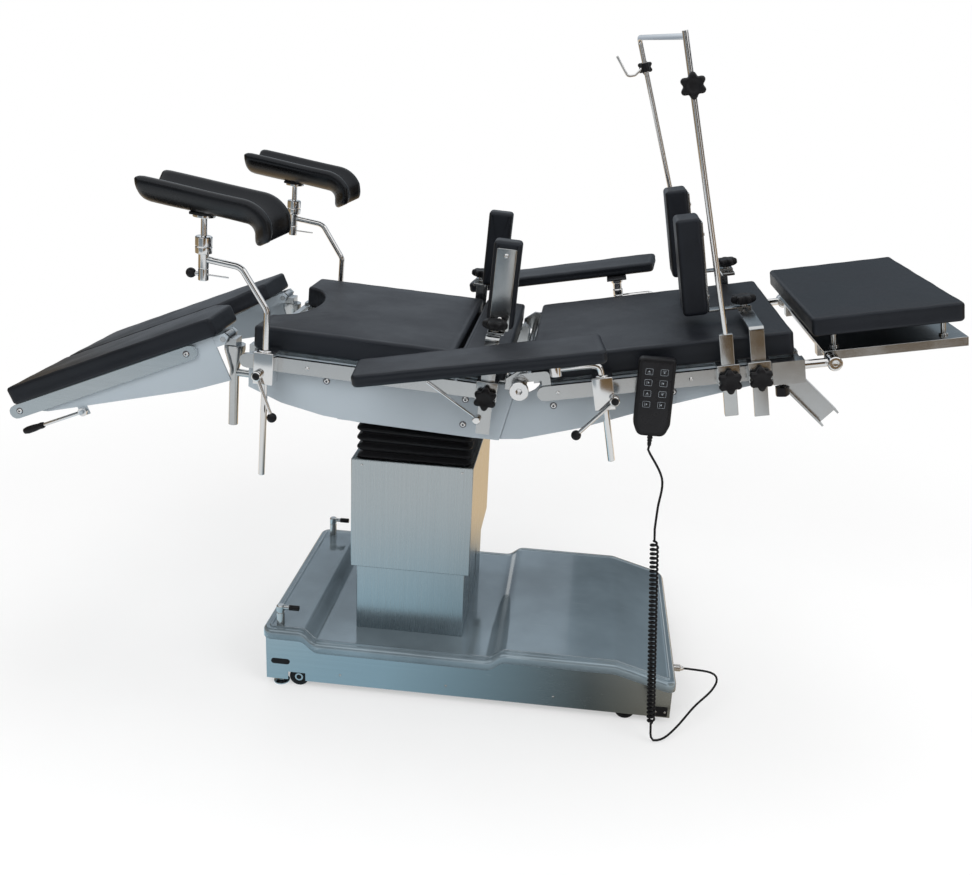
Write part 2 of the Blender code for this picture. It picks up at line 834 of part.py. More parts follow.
def base(root):
    """Skirt, moulded cover, chassis plate, two wheeled axles, two floor locks, power unit, plug."""
    skirt_top = COVER_WALL + GAP
    line = deck_line(BASE_LEFT, BASE_RIGHT, skirt_top)
    outer = prism([(BASE_RIGHT, SKIRT_BOTTOM), *line[::-1], (BASE_LEFT, SKIRT_BOTTOM)], "Y",
                  (-BASE_HALF, BASE_HALF))
    hollow = block((BASE_LEFT + SHEET, BASE_RIGHT - SHEET), (-BASE_HALF + SHEET, BASE_HALF - SHEET),
                   (0, PLATEAU_TOP + OVERRUN))
    notches = [
        block((AXLE_LEFT - WHEEL_R, AXLE_LEFT + WHEEL_R * 0.8), span(side, WHEEL_OUT, BASE_HALF + OVERRUN),
              (0, NOTCH_HIGH))
        for side in SIDES.values()
    ]
    socket = rod((BASE_RIGHT - SHEET - OVERRUN, PLUG_Y, PLUG_Z), (BASE_RIGHT + OVERRUN, PLUG_Y, PLUG_Z),
                 PLUG_R + GAP)
    node("base_skirt", fuse([outer], [hollow, *notches, socket]), root, (0, 0, 0), brushed())

    left, right = BASE_LEFT - LIP, BASE_RIGHT + LIP
    half = BASE_HALF + LIP
    rim = deck_line(left, right, RIM_HIGH)
    lid = prism([*rim, *deck_line(left, right, 0)[::-1]], "Y", (-half, half))
    ceiling = deck_line(left + COVER_WALL, right - COVER_WALL, COVER_WALL)
    inside = prism([(left + COVER_WALL, 0), (right - COVER_WALL, 0), *ceiling[::-1]], "Y",
                   (-half + COVER_WALL, half - COVER_WALL))
    well = block((-LOWER_HALF_X + COVER_MARGIN, LOWER_HALF_X - COVER_MARGIN),
                 (-LOWER_HALF_Y + COVER_MARGIN, LOWER_HALF_Y - COVER_MARGIN), (0, PLATEAU_TOP))
    holes = [
        rod((LOCK_X, side * LOCK_Y, 0), (LOCK_X, side * LOCK_Y, PLATEAU_TOP + OVERRUN), LOCK_POST_R + GAP,
            sides=24)
        for side in SIDES.values()
    ]
    node("base_cover", fuse([lid], [inside, well, *holes]), root, (0, 0, 0), shell_plastic())

    edge = SHEET + GAP
    plate = block((BASE_LEFT + edge, BASE_RIGHT - edge), (-BASE_HALF + edge, BASE_HALF - edge),
                  (CHASSIS_LOW, CHASSIS_TOP))
    guide = block((-MAST_HALF_X - GUIDE_WALL, MAST_HALF_X + GUIDE_WALL),
                  (-MAST_HALF_Y - GUIDE_WALL, MAST_HALF_Y + GUIDE_WALL), (CHASSIS_LOW + BITE, GUIDE_TOP))
    bore = block((-MAST_HALF_X - GAP, MAST_HALF_X + GAP), (-MAST_HALF_Y - GAP, MAST_HALF_Y + GAP),
                 (CHASSIS_TOP, GUIDE_TOP + OVERRUN))
    hangers = [
        block((x - HANGER_HALF, x + HANGER_HALF), y, (HANGER_LOW, CHASSIS_LOW + BITE))
        for x in (AXLE_LEFT, AXLE_RIGHT) for y in both(HANGER_IN, HANGER_OUT)
    ]
    bearings = [
        rod((x, -BASE_HALF, WHEEL_R), (x, BASE_HALF, WHEEL_R), AXLE_R + RUN)
        for x in (AXLE_LEFT, AXLE_RIGHT)
    ]
    bosses = [
        rod((LOCK_X, side * LOCK_Y, CHASSIS_LOW), (LOCK_X, side * LOCK_Y, BOSS_TOP), BOSS_R)
        for side in SIDES.values()
    ]
    threads = [
        rod((LOCK_X, side * LOCK_Y, 0), (LOCK_X, side * LOCK_Y, BOSS_TOP + OVERRUN), LOCK_R + GAP)
        for side in SIDES.values()
    ]
    chassis = fuse([plate, guide, *hangers, *bosses], [bore, *bearings, *threads])
    node("base_chassis", chassis, root, (0, 0, 0), iron())

    for end, x in (("left", AXLE_LEFT), ("right", AXLE_RIGHT)):
        shaft = rod((x, -WHEEL_IN - BITE, WHEEL_R), (x, WHEEL_IN + BITE, WHEEL_R), AXLE_R)
        wheels = []
        for side in SIDES.values():
            ends = [side * WHEEL_IN, side * (WHEEL_IN + WHEEL_TREAD), side * (WHEEL_OUT - WHEEL_TREAD),
                    side * WHEEL_OUT]
            radii = [WHEEL_R - WHEEL_TREAD, WHEEL_R, WHEEL_R, WHEEL_R - WHEEL_TREAD]
            rings = [
                [(x + a, y, WHEEL_R + b) for a, b in circle((0, 0), r, WHEEL_SIDES)]
                for y, r in zip(ends, radii)
            ]
            wheels.append(loft(rings))
        node(f"castor_axle_{end}", fuse([shaft, *wheels]), root, (x, 0, WHEEL_R), rubber())

    for name, side in SIDES.items():
        y = side * LOCK_Y
        foot = lathe([(FOOT_R, 0), (FOOT_R, FOOT_HIGH / 2), (LOCK_R, FOOT_HIGH), (LOCK_R, LOCK_TOP)],
                     LOCK_X, y)
        post = rod((LOCK_X, y, BOSS_TOP + GAP), (LOCK_X, y, LOCK_TOP), LOCK_POST_R)
        height = LOCK_TOP - LOCK_LEVER_R
        lever = rod((LOCK_X, y, height), (LOCK_X + LOCK_LEVER, y, height), LOCK_LEVER_R, sides=10)
        node(f"floor_lock_{name}", fuse([foot, post, lever]), root, (LOCK_X, y, 0), steel())

    box = block((POWER_LEFT, POWER_RIGHT), (-POWER_HALF, POWER_HALF), (CHASSIS_TOP + GAP, POWER_TOP))
    node("power_unit", fuse([box]), root, (POWER_LEFT, 0, CHASSIS_TOP), iron())

    inner = BASE_RIGHT - SHEET - OVERRUN / 2
    barrel = rod((inner, PLUG_Y, PLUG_Z), (BASE_RIGHT + PLUG_LONG, PLUG_Y, PLUG_Z), PLUG_R)
    nut_at = BASE_RIGHT + GAP
    nut = rod((nut_at, PLUG_Y, PLUG_Z), (nut_at + PLUG_NUT, PLUG_Y, PLUG_Z), PLUG_NUT_R, sides=6)
    node("cord_plug", fuse([barrel, nut]), root, (nut_at, PLUG_Y, PLUG_Z), chrome())


def belly_height(x, drop):
    """Height above the floor of the seat panels' belly, less a drop, at an X ahead of the column."""
    low = BELLY_LOW - drop
    return WAIST_Z + (low - (x - WAIST_X) * math.sin(SEAT_TILT)) / math.cos(SEAT_TILT)


def column(root, seat):
    """Two telescoping covers, the mast that lifts, the bellows above and the cross joint."""
    tall = block((-LOWER_HALF_X, LOWER_HALF_X), (-LOWER_HALF_Y, LOWER_HALF_Y), (VALLEY_TOP + GAP, LOWER_TOP))
    hollow = block((-LOWER_HALF_X + SHEET, LOWER_HALF_X - SHEET),
                   (-LOWER_HALF_Y + SHEET, LOWER_HALF_Y - SHEET), (0, LOWER_TOP + OVERRUN))
    node("lower_column_cover", fuse([tall], [hollow]), root, (0, 0, VALLEY_TOP), brushed())

    tall = block((-UPPER_HALF_X, UPPER_HALF_X), (-UPPER_HALF_Y, UPPER_HALF_Y), (UPPER_LOW, UPPER_TOP))
    hollow = block((-UPPER_HALF_X + SHEET, UPPER_HALF_X - SHEET),
                   (-UPPER_HALF_Y + SHEET, UPPER_HALF_Y - SHEET), (0, UPPER_TOP - HEAD_PLATE))
    slack = BITE
    eye = block((-MAST_HALF_X - slack, MAST_HALF_X + slack), (-MAST_HALF_Y - slack, MAST_HALF_Y + slack),
                (UPPER_LOW, UPPER_TOP + OVERRUN))
    node("upper_column_cover", fuse([tall], [hollow, eye]), root, (0, 0, UPPER_LOW), brushed())

    mast = block((-MAST_HALF_X, MAST_HALF_X), (-MAST_HALF_Y, MAST_HALF_Y), (MAST_LOW, MAST_TOP))
    shoulder = UPPER_TOP - HEAD_PLATE - GAP
    flange = block((-FLANGE_HALF_X, FLANGE_HALF_X), (-FLANGE_HALF_Y, FLANGE_HALF_Y),
                   (shoulder - FLANGE_THICK, shoulder))
    ears = [
        block((-EAR_HALF, EAR_HALF), y, (MAST_TOP - BITE, TILT_Z + EAR_RISE))
        for y in both(MAST_HALF_Y - EAR_THICK, MAST_HALF_Y)
    ]
    pin_hole = rod((0, -UPPER_HALF_Y, TILT_Z), (0, UPPER_HALF_Y, TILT_Z), CROSS_PIN_R + RUN)
    node("lift_mast", fuse([mast, flange, *ears], [pin_hole]), root, (0, 0, MAST_LOW), steel())

    x, z = seat_place(0, TILT_Z)
    body = block((x - CROSS_HALF_X, x + CROSS_HALF_X),
                 (-MAST_HALF_Y + EAR_THICK + GAP, MAST_HALF_Y - EAR_THICK - GAP),
                 (z - CROSS_HALF_Z, z + CROSS_HALF_Z))
    short = rod((x, -CROSS_PIN_Y, z), (x, CROSS_PIN_Y, z), CROSS_PIN_R)
    long = rod((x - CROSS_PIN_X, 0, z), (x + CROSS_PIN_X, 0, z), CROSS_PIN_R)
    node("tilt_cross", fuse([body, short, long]), seat, (x, 0, z), steel())

    low = UPPER_TOP + GAP
    rings = []
    levels = PLEATS * 2
    for i in range(levels + 1):
        fold = PLEAT if i % 2 else 0
        half_x, half_y = BELLOWS_HALF_X - fold, BELLOWS_HALF_Y - fold
        corners = ((-half_x, -half_y), (half_x, -half_y), (half_x, half_y), (-half_x, half_y))
        rings.append([(a, b, low + (belly_height(a, GAP) - low) * i / levels) for a, b in corners])
    bore_x = BELLOWS_HALF_X - PLEAT - BELLOWS_WALL
    bore_y = BELLOWS_HALF_Y - PLEAT - BELLOWS_WALL
    bore = block((-bore_x, bore_x), (-bore_y, bore_y), (UPPER_LOW, WAIST_Z))
    node("bellows", fuse([loft(rings)], [bore]), root, (0, 0, low), rubber())


def seat_outline():
    """The seat cushion's outline, with the round notch at its leg end."""
    points = [(SEAT_RIGHT, -PAD_HALF), (SEAT_RIGHT, PAD_HALF), (SEAT_LEFT, PAD_HALF)]
    for i in range(9):
        turn = math.pi / 2 - math.pi * i / 8
        points.append((SEAT_LEFT + NOTCH_DEEP * math.cos(turn), NOTCH_HALF * math.sin(turn)))
    points.append((SEAT_LEFT, -PAD_HALF))
    return points


def rail_bar(left, right, side):
    """An accessory rail with round ends."""
    radius = RAIL_HIGH / 2
    return prism(stadium(left + radius, right - radius, RAIL_MID, radius), "Y",
                 span(side, RAIL_IN, RAIL_OUT))


def seat_section(seat):
    """Welded frame with rails, hinge eyes and leg sockets, painted shell, cushions, kidney bridge."""
    cross_x, cross_z = seat_place(0, TILT_Z)
    bodies = [block((SEAT_RAIL_LEFT, SEAT_BEAM_RIGHT - OVERRUN), y, (BEAM_LOW, BEAM_TOP))
              for y in both(BEAM_IN, BEAM_OUT)]
    deck = block((SEAT_LEFT + BITE, SEAT_RIGHT - BITE), (-PAD_HALF + PAD_EDGE, PAD_HALF - PAD_EDGE),
                 (DECK_TOP - DECK_THICK * 2, DECK_TOP))
    bodies += [deck]
    bodies += [block((SEAT_RAIL_LEFT, SEAT_RAIL_LEFT + SEAT_END_THICK), (-BEAM_OUT, BEAM_OUT),
                     (BEAM_LOW, -SEAT_END_THICK / 3))]
    for direction in (-1, 1):
        near = cross_x + direction * WEB_NEAR
        far = near + direction * WEB_THICK
        reach = SEAT_SHELL_IN - GAP
        bodies.append(block((near, far), (-reach, reach), (WEB_LOW, WEB_TOP)))
    bodies.append(block((KIDNEY_LEG_X - GUIDE_BAR_HALF, KIDNEY_LEG_X + GUIDE_BAR_HALF),
                        (-BEAM_IN - BITE, BEAM_IN + BITE), (BEAM_LOW, GUIDE_BAR_TOP)))
    pin_x = rod((cross_x - CROSS_PIN_X - OVERRUN, 0, cross_z), (cross_x + CROSS_PIN_X + OVERRUN, 0, cross_z),
                CROSS_PIN_R + RUN)
    cuts = [pin_x]
    notch = [(x, y) for x, y in seat_outline() if abs(y) < NOTCH_HALF]
    notch = [(SEAT_RAIL_LEFT - OVERRUN, NOTCH_HALF), (SEAT_LEFT, NOTCH_HALF), *notch,
             (SEAT_LEFT, -NOTCH_HALF), (SEAT_RAIL_LEFT - OVERRUN, -NOTCH_HALF)]
    cuts.append(prism(notch, "Z", (-SEAT_END_THICK / 3 + BITE, PAD_TOP)))
    for side in SIDES.values():
        cuts.append(block((KIDNEY_LEG_X - KIDNEY_LEG_HALF - GAP, KIDNEY_LEG_X + KIDNEY_LEG_HALF + GAP),
                          span(side, KIDNEY_LEG_Y - KIDNEY_LEG_HALF - GAP,
                               KIDNEY_LEG_Y + KIDNEY_LEG_HALF + GAP),
                          (BEAM_LOW - OVERRUN, GUIDE_BAR_TOP + OVERRUN)))
        bodies.append(rail_bar(SEAT_RAIL_LEFT, SEAT_RAIL_RIGHT, side))
        for x in SEAT_STANDOFFS:
            bodies.append(rod((x, side * (BEAM_OUT - BITE), RAIL_MID),
                              (x, side * (RAIL_IN + BITE), RAIL_MID), STANDOFF_R, sides=8))
        bodies.append(block((KIDNEY_RIGHT + BITE, SEAT_BEAM_RIGHT), span(side, BEAM_IN, BEAM_OUT),
                            (BEAM_LOW, EAR_ROD_Z + STANDOFF_R)))
        bodies.append(rod((EAR_ROD_X, side * (BEAM_OUT - BITE), EAR_ROD_Z),
                          (EAR_ROD_X, side * (HINGE_IN + BITE), EAR_ROD_Z), STANDOFF_R))
        bodies.append(prism(SEAT_EAR, "Y", span(side, HINGE_IN, HINGE_IN + HINGE_THICK)))
        bodies += leg_socket(side)
        cuts.append(rod((SOCKET_X, side * SOCKET_Y, LEG_PIN_LOW - BITE),
                        (SOCKET_X, side * SOCKET_Y, SOCKET_TOP + OVERRUN), LEG_PIN_R + GAP))
    wide = PAD_HALF + HINGE_THICK + OVERRUN
    cuts.append(rod((0, -wide, 0), (0, wide, 0), SHAFT_R + GAP))
    cuts.append(rod((BACK_PIVOT_X, -wide, BACK_PIVOT_Z), (BACK_PIVOT_X, wide, BACK_PIVOT_Z),
                    HINGE_PIN_R + GAP))
    node("seat_frame", fuse(bodies, cuts), seat, (cross_x, 0, cross_z), steel())

    outline = [(SEAT_SHELL_LEFT, SEAT_SHELL_TOP), *SEAT_SHELL_BOW, (BELLY_RIGHT, BELLY_LOW),
               SEAT_SHELL_HEEL, SEAT_SHELL_JOINT, (SEAT_SHELL_JOINT[0], SEAT_SHELL_TOP)]
    panels = [prism(outline, "Y", y) for y in both(SEAT_SHELL_IN, SEAT_SHELL_IN + SHELL_WALL)]
    belly = block((BELLY_LEFT, BELLY_RIGHT), (-SEAT_SHELL_IN - BITE, SEAT_SHELL_IN + BITE),
                  (BELLY_LOW, BELLY_LOW + SHELL_WALL))
    throat = block((cross_x - BELLY_HOLE_X, cross_x + BELLY_HOLE_X), (-BELLY_HOLE_Y, BELLY_HOLE_Y),
                   (BELLY_LOW - OVERRUN, BELLY_LOW + SHELL_WALL + OVERRUN))
    wide = RAIL_OUT
    holes = [rod((x, -wide, RAIL_MID), (x, wide, RAIL_MID), STANDOFF_R + GAP, sides=8)
             for x in SEAT_STANDOFFS]
    node("seat_shell", fuse([*panels, belly], [throat, *holes]), seat, (cross_x, 0, cross_z), paint())

    node("seat_pad", fuse([cushion(seat_outline(), PAD_BOTTOM, PAD_TOP)]), seat,
         (SEAT_LEFT, 0, PAD_BOTTOM), leather())

    top = block((KIDNEY_LEFT, KIDNEY_RIGHT), (-PAD_HALF + PAD_EDGE, PAD_HALF - PAD_EDGE),
                (BEAM_TOP + GAP, DECK_TOP))
    legs = [
        block((KIDNEY_LEG_X - KIDNEY_LEG_HALF, KIDNEY_LEG_X + KIDNEY_LEG_HALF),
              span(side, KIDNEY_LEG_Y - KIDNEY_LEG_HALF, KIDNEY_LEG_Y + KIDNEY_LEG_HALF),
              (KIDNEY_LEG_LOW, DECK_TOP - GAP * 2))
        for side in SIDES.values()
    ]
    node("kidney_bridge", fuse([top, *legs]), seat, (KIDNEY_LEG_X, 0, BEAM_TOP), steel())
    outline = [(KIDNEY_LEFT, -PAD_HALF), (KIDNEY_RIGHT, -PAD_HALF), (KIDNEY_RIGHT, PAD_HALF),
               (KIDNEY_LEFT, PAD_HALF)]
    node("kidney_pad", fuse([cushion(outline, PAD_BOTTOM, PAD_TOP)]), seat,
         (KIDNEY_LEG_X, 0, PAD_BOTTOM), leather())

    near = HINGE_IN + HINGE_THICK * 2 + RUN + BITE * 3
    shaft = rod((0, -near - BITE, 0), (0, near + BITE, 0), SHAFT_R)
    hubs = [rod((0, side * near, 0), (0, side * (near + HUB_THICK), 0), HUB_R, sides=WHEEL_SIDES)
            for side in SIDES.values()]
    hexes = [rod((0, side * (near + HUB_THICK - HUB_HEX_DEEP), 0),
                 (0, side * (near + HUB_THICK + OVERRUN), 0), HUB_HEX_R, sides=6)
             for side in SIDES.values()]
    node("kidney_crank", fuse([shaft, *hubs], hexes), seat, (0, 0, 0), chrome())


def leg_socket(side):
    """The funnel and tube that a leg plate's pin stands in, with its stub to the frame's end."""
    y = side * SOCKET_Y
    profile = [
        (SOCKET_TUBE_R, SOCKET_LOW),
        (SOCKET_TUBE_R, SOCKET_NECK),
        (SOCKET_R, SOCKET_TOP - SOCKET_RIM),
        (SOCKET_R, SOCKET_TOP),
    ]
    funnel = lathe(profile, SOCKET_X, y)
    stub = rod((SOCKET_X, y, SOCKET_STUB_Z), (SEAT_RAIL_LEFT + BITE, y, SOCKET_STUB_Z), SOCKET_STUB_R)
    plate = block((SEAT_RAIL_LEFT, SEAT_RAIL_LEFT + SEAT_END_THICK), span(side, BEAM_IN, BEAM_OUT),
                  (SOCKET_STUB_Z - SOCKET_STUB_R * 1.5, BEAM_TOP))
    return [funnel, stub, plate]


def leg_outline(side):
    """A leg cushion's outline, cut off at the inner corner by the seat's notch."""
    points = [
        (LEG_FOOT, side * PAD_HALF),
        (LEG_KNEE, side * PAD_HALF),
        (LEG_KNEE - PAD_EDGE, side * LEG_CHAMFER_Y),
        (LEG_CHAMFER_X, side * LEG_PAD_IN),
        (LEG_FOOT, side * LEG_PAD_IN),
    ]
    return points if side < 0 else points[::-1]


def leg_section(seat, leg, name, side):
    """One leg plate: the turning post, the frame that drops, its cushion and its release lever."""
    y = side * SOCKET_Y
    pin = rod((SOCKET_X, y, LEG_PIN_LOW), (SOCKET_X, y, KNEE_Z), LEG_PIN_R)
    wide = (y - KNUCKLE_HALF, y + KNUCKLE_HALF)
    base_block = block((KNEE_X - KNEE_EYE_R, SOCKET_X + LEG_PIN_R + BITE), wide, (SOCKET_TOP + GAP, KNEE_Z))
    eye = rod((KNEE_X, wide[0], KNEE_Z), (KNEE_X, wide[1], KNEE_Z), KNEE_EYE_R)
    reach = KNUCKLE_EAR + LEG_EAR
    hinge = rod((KNEE_X, y - reach, KNEE_Z), (KNEE_X, y + reach, KNEE_Z), KNEE_PIN_R)
    node(f"leg_post_{name}", fuse([pin, base_block, eye, hinge]), seat, (SOCKET_X, y, 0), steel())

    pad_bottom = PAD_TOP - LEG_PAD_THICK
    deck_top = pad_bottom - GAP
    deck = leg_outline(side)
    deck = [(min(x, LEG_DECK_END), point_y) for x, point_y in inset(deck, PAD_HALF - LEG_SHELL_OUT)]
    bodies = [prism(deck, "Z", (deck_top - LEG_DECK_THICK * 2, deck_top))]
    low = [(LEG_FOOT + PAD_EDGE, LEG_BAR_Z), *LEG_SHELL_LOW]
    outline = [(LEG_FOOT + PAD_EDGE, deck_top), *low, (LEG_SHELL_LOW[-1][0], deck_top)]
    bodies.append(prism(outline, "Y", span(side, LEG_SHELL_OUT - LEG_SHELL_WALL, LEG_SHELL_OUT)))
    foot, knee = LEG_FOOT + PAD_EDGE, LEG_CHAMFER_X - PAD_EDGE * 2
    rib = [(foot, deck_top), (foot, -LEG_BAR_R), (knee, -LEG_BAR_R), (knee, deck_top)]
    bodies.append(prism(rib, "Y", span(side, LEG_RIB_IN, LEG_RIB_IN + LEG_SHELL_WALL)))
    bodies.append(prism(stadium(LEG_BAR_LEFT, LEG_BAR_RIGHT, LEG_BAR_Z, LEG_BAR_R), "Y",
                        span(side, LEG_SHELL_OUT - BITE, LEG_SHELL_OUT + LEG_BAR_THICK)))
    for inner, outer in ((-reach, -KNUCKLE_EAR), (KNUCKLE_EAR, reach)):
        start = LEG_DECK_END - OVERRUN * 3
        arm = [(start, deck_top - BITE), (start, -KNEE_EYE_R), (0, -KNEE_EYE_R), (KNEE_EYE_R, 0),
               (KNEE_EYE_R / 2, KNEE_EYE_R), (-KNEE_EYE_R, deck_top - BITE)]
        bodies.append(prism(arm, "Y", (y + inner, y + outer)))
    boss_y = LEG_SHELL_OUT - LEG_SHELL_WALL
    bodies.append(rod((LEVER_X, side * boss_y, LEVER_Z + LEVER_EYE_R),
                      (LEVER_X, side * LEG_SHELL_OUT, LEVER_Z + LEVER_EYE_R), LEVER_EYE_R))
    bodies.append(rod((LEVER_X, side * boss_y, LEVER_Z), (LEVER_X, side * LEVER_Y, LEVER_Z), LEVER_BOSS_R))
    bodies.append(block((LEVER_X - LEVER_EYE_R, LEVER_X + LEVER_EYE_R), span(side, boss_y, LEG_SHELL_OUT),
                        (LEVER_Z - LEVER_EYE_R, LEVER_Z + LEVER_EYE_R * 2)))
    bore = rod((0, y - reach - OVERRUN, 0), (0, y + reach + OVERRUN, 0), KNEE_PIN_R + GAP)
    node(f"leg_frame_{name}", fuse(bodies, [bore]), leg, (0, y, 0), paint())

    node(f"leg_pad_{name}", fuse([cushion(leg_outline(side), pad_bottom, PAD_TOP)]), leg,
         (LEG_KNEE, y, pad_bottom), leather())

    near = LEG_SHELL_OUT + GAP
    far = near + LEVER_EYE_THICK
    middle = side * (near + far) / 2
    eye = rod((LEVER_X, side * near, LEVER_Z), (LEVER_X, side * far, LEVER_Z), LEVER_EYE_R)
    start = LEVER_X - LEVER_LONG
    arm = rod((LEVER_X, middle, LEVER_Z), (start, middle, LEVER_Z), LEVER_R, sides=10)
    grip = rod((start, middle, LEVER_Z), (start - LEVER_GRIP, middle, LEVER_Z), LEVER_GRIP_R, sides=12)
    hole = rod((LEVER_X, side * BEAM_OUT, LEVER_Z), (LEVER_X, side * RAIL_OUT, LEVER_Z), LEVER_BOSS_R + GAP)
    node(f"leg_lever_{name}", fuse([eye, arm, grip], [hole]), leg, (LEVER_X, middle, LEVER_Z), chrome())


def back_section(back):
    """Welded frame with rails, end blocks and hinge eyes, painted shell and cushion."""
    pivot_x, pivot_z = seat_to_back(BACK_PIVOT_X, BACK_PIVOT_Z)
    deck = block((BACK_LEFT + BITE, BACK_RIGHT - BITE), (-BACK_SHELL_IN + BITE, BACK_SHELL_IN - BITE),
                 (DECK_TOP - DECK_THICK * 2, DECK_TOP))
    bodies = [deck]
    cuts = []
    for x, low in BACK_WEBS:
        reach = BACK_SHELL_IN - GAP
        bodies.append(block((x, x + WEB_THICK), (-reach, reach), (low, DECK_TOP - DECK_THICK)))
    bodies.append(block((BACK_BEAM_RIGHT - SEAT_END_THICK, BACK_BEAM_RIGHT - BITE / 2),
                        (-BEAM_OUT + BITE, BEAM_OUT - BITE), (BEAM_LOW + BITE / 2, BEAM_TOP)))
    hinge_y = HINGE_IN + HINGE_THICK + RUN
    for side in SIDES.values():
        bodies.append(block((BACK_BEAM_LEFT, BACK_BEAM_RIGHT), span(side, BEAM_IN, BEAM_OUT),
                            (BEAM_LOW, BEAM_TOP)))
        bodies.append(rail_bar(BACK_RAIL_LEFT, BACK_BEAM_RIGHT - OVERRUN, side))
        for x in BACK_STANDOFFS:
            bodies.append(rod((x, side * (BEAM_OUT - BITE), RAIL_MID),
                              (x, side * (RAIL_IN + BITE), RAIL_MID), STANDOFF_R, sides=8))
        bodies.append(block((BACK_BEAM_RIGHT - SEAT_END_THICK + BITE, BACK_BEAM_RIGHT - BITE),
                            span(side, BEAM_OUT - BITE, END_BLOCK_IN + BITE),
                            (BEAM_LOW + BITE, BEAM_TOP - BITE)))
        bodies.append(block((END_BLOCK_LEFT, BACK_BEAM_RIGHT), span(side, END_BLOCK_IN, END_BLOCK_OUT),
                            (END_BLOCK_LOW, END_BLOCK_TOP)))
        arm = stadium(pivot_x, BACK_BEAM_LEFT + HINGE_EYE_R * 2, pivot_z, HINGE_EYE_R)
        bodies.append(prism(arm, "Y", span(side, hinge_y, hinge_y + HINGE_THICK)))
        drop = BACK_BEAM_LEFT + HINGE_EYE_R
        bodies.append(block((drop, drop + HINGE_EYE_R * 2), span(side, hinge_y, hinge_y + HINGE_THICK),
                            (-RAIL_HIGH + BITE, pivot_z)))
        bodies.append(rod((pivot_x, side * (HINGE_IN - BITE / 2), pivot_z),
                          (pivot_x, side * (hinge_y + HINGE_THICK + BITE), pivot_z), HINGE_PIN_R))
        rod_y = side * (RAIL_IN + RAIL_OUT) / 2
        cuts.append(rod((ROD_LEFT - OVERRUN, rod_y, ROD_Z), (BACK_BEAM_RIGHT + OVERRUN, rod_y, ROD_Z),
                        ROD_R + GAP))
        lock_x = HEAD_LOCK_X
        head = END_BLOCK_LOW - HEAD_LOCK_STEM
        bodies.append(rod((lock_x, rod_y, END_BLOCK_LOW + BITE), (lock_x, rod_y, head), STUD_R, sides=10))
        outline = star((lock_x, rod_y), HEAD_LOCK_R, 5)
        bodies.append(prism(outline, "Z", (head - HEAD_LOCK_HIGH, head + BITE / 2)))
    bodies += channel()
    node("back_frame", fuse(bodies, cuts), back, (pivot_x, 0, pivot_z), steel())

    joint = seat_to_back(*SEAT_SHELL_JOINT)
    heel = seat_to_back(*SEAT_SHELL_HEEL)
    outline = [(joint[0], SEAT_SHELL_TOP), joint, heel, *BACK_SHELL_LOW, (BACK_SHELL_LOW[-1][0], SEAT_SHELL_TOP)]
    panels = [prism(outline, "Y", y) for y in both(BACK_SHELL_IN, BACK_SHELL_IN + SHELL_WALL)]
    strap = block((STRAP_LEFT, STRAP_RIGHT), (-BACK_SHELL_IN - BITE, BACK_SHELL_IN + BITE),
                  (STRAP_Z, STRAP_Z + SHELL_WALL))
    wide = RAIL_OUT
    holes = [rod((x, -wide, RAIL_MID), (x, wide, RAIL_MID), STANDOFF_R + GAP, sides=8)
             for x in BACK_STANDOFFS]
    clear = rod((pivot_x, -wide, pivot_z), (pivot_x, wide, pivot_z), BACK_CLEAR_R, sides=24)
    node("back_shell", fuse([*panels, strap], [*holes, clear]), back, (pivot_x, 0, pivot_z), paint())

    outline = [(BACK_LEFT, -PAD_HALF), (BACK_RIGHT, -PAD_HALF), (BACK_RIGHT, PAD_HALF), (BACK_LEFT, PAD_HALF)]
    node("back_pad", fuse([cushion(outline, PAD_BOTTOM, PAD_TOP)]), back, (BACK_LEFT, 0, PAD_BOTTOM), leather())


def channel():
    """The short channel that hangs askew under the head end of the back section."""
    (x0, z0), (x1, z1) = CHANNEL_TOP, CHANNEL_END
    along = Vector((x1 - x0, 0, z1 - z0)).normalized()
    square = Vector((-along.z, 0, along.x))
    pieces = []
    for low, high, near, far in (
        (-CHANNEL_HALF, CHANNEL_HALF, 0, CHANNEL_WALL),
        (-CHANNEL_HALF, -CHANNEL_HALF + CHANNEL_WALL, 0, CHANNEL_WIDE),
        (CHANNEL_HALF - CHANNEL_WALL, CHANNEL_HALF, 0, CHANNEL_WIDE),
    ):
        rings = []
        for x, z in (CHANNEL_TOP, CHANNEL_END):
            centre = Vector((x, 0, z))
            corners = ((low, near), (high, near), (high, far), (low, far))
            rings.append([centre + square * a + Vector((0, CHANNEL_Y - b, 0)) for a, b in corners])
        pieces.append(loft(rings))
    hanger = block((BACK_BEAM_RIGHT - SEAT_END_THICK, BACK_BEAM_RIGHT),
                   (CHANNEL_Y - CHANNEL_WALL, CHANNEL_Y), (z0 - CHANNEL_HALF, BEAM_LOW + BITE))
    return [*pieces, hanger]


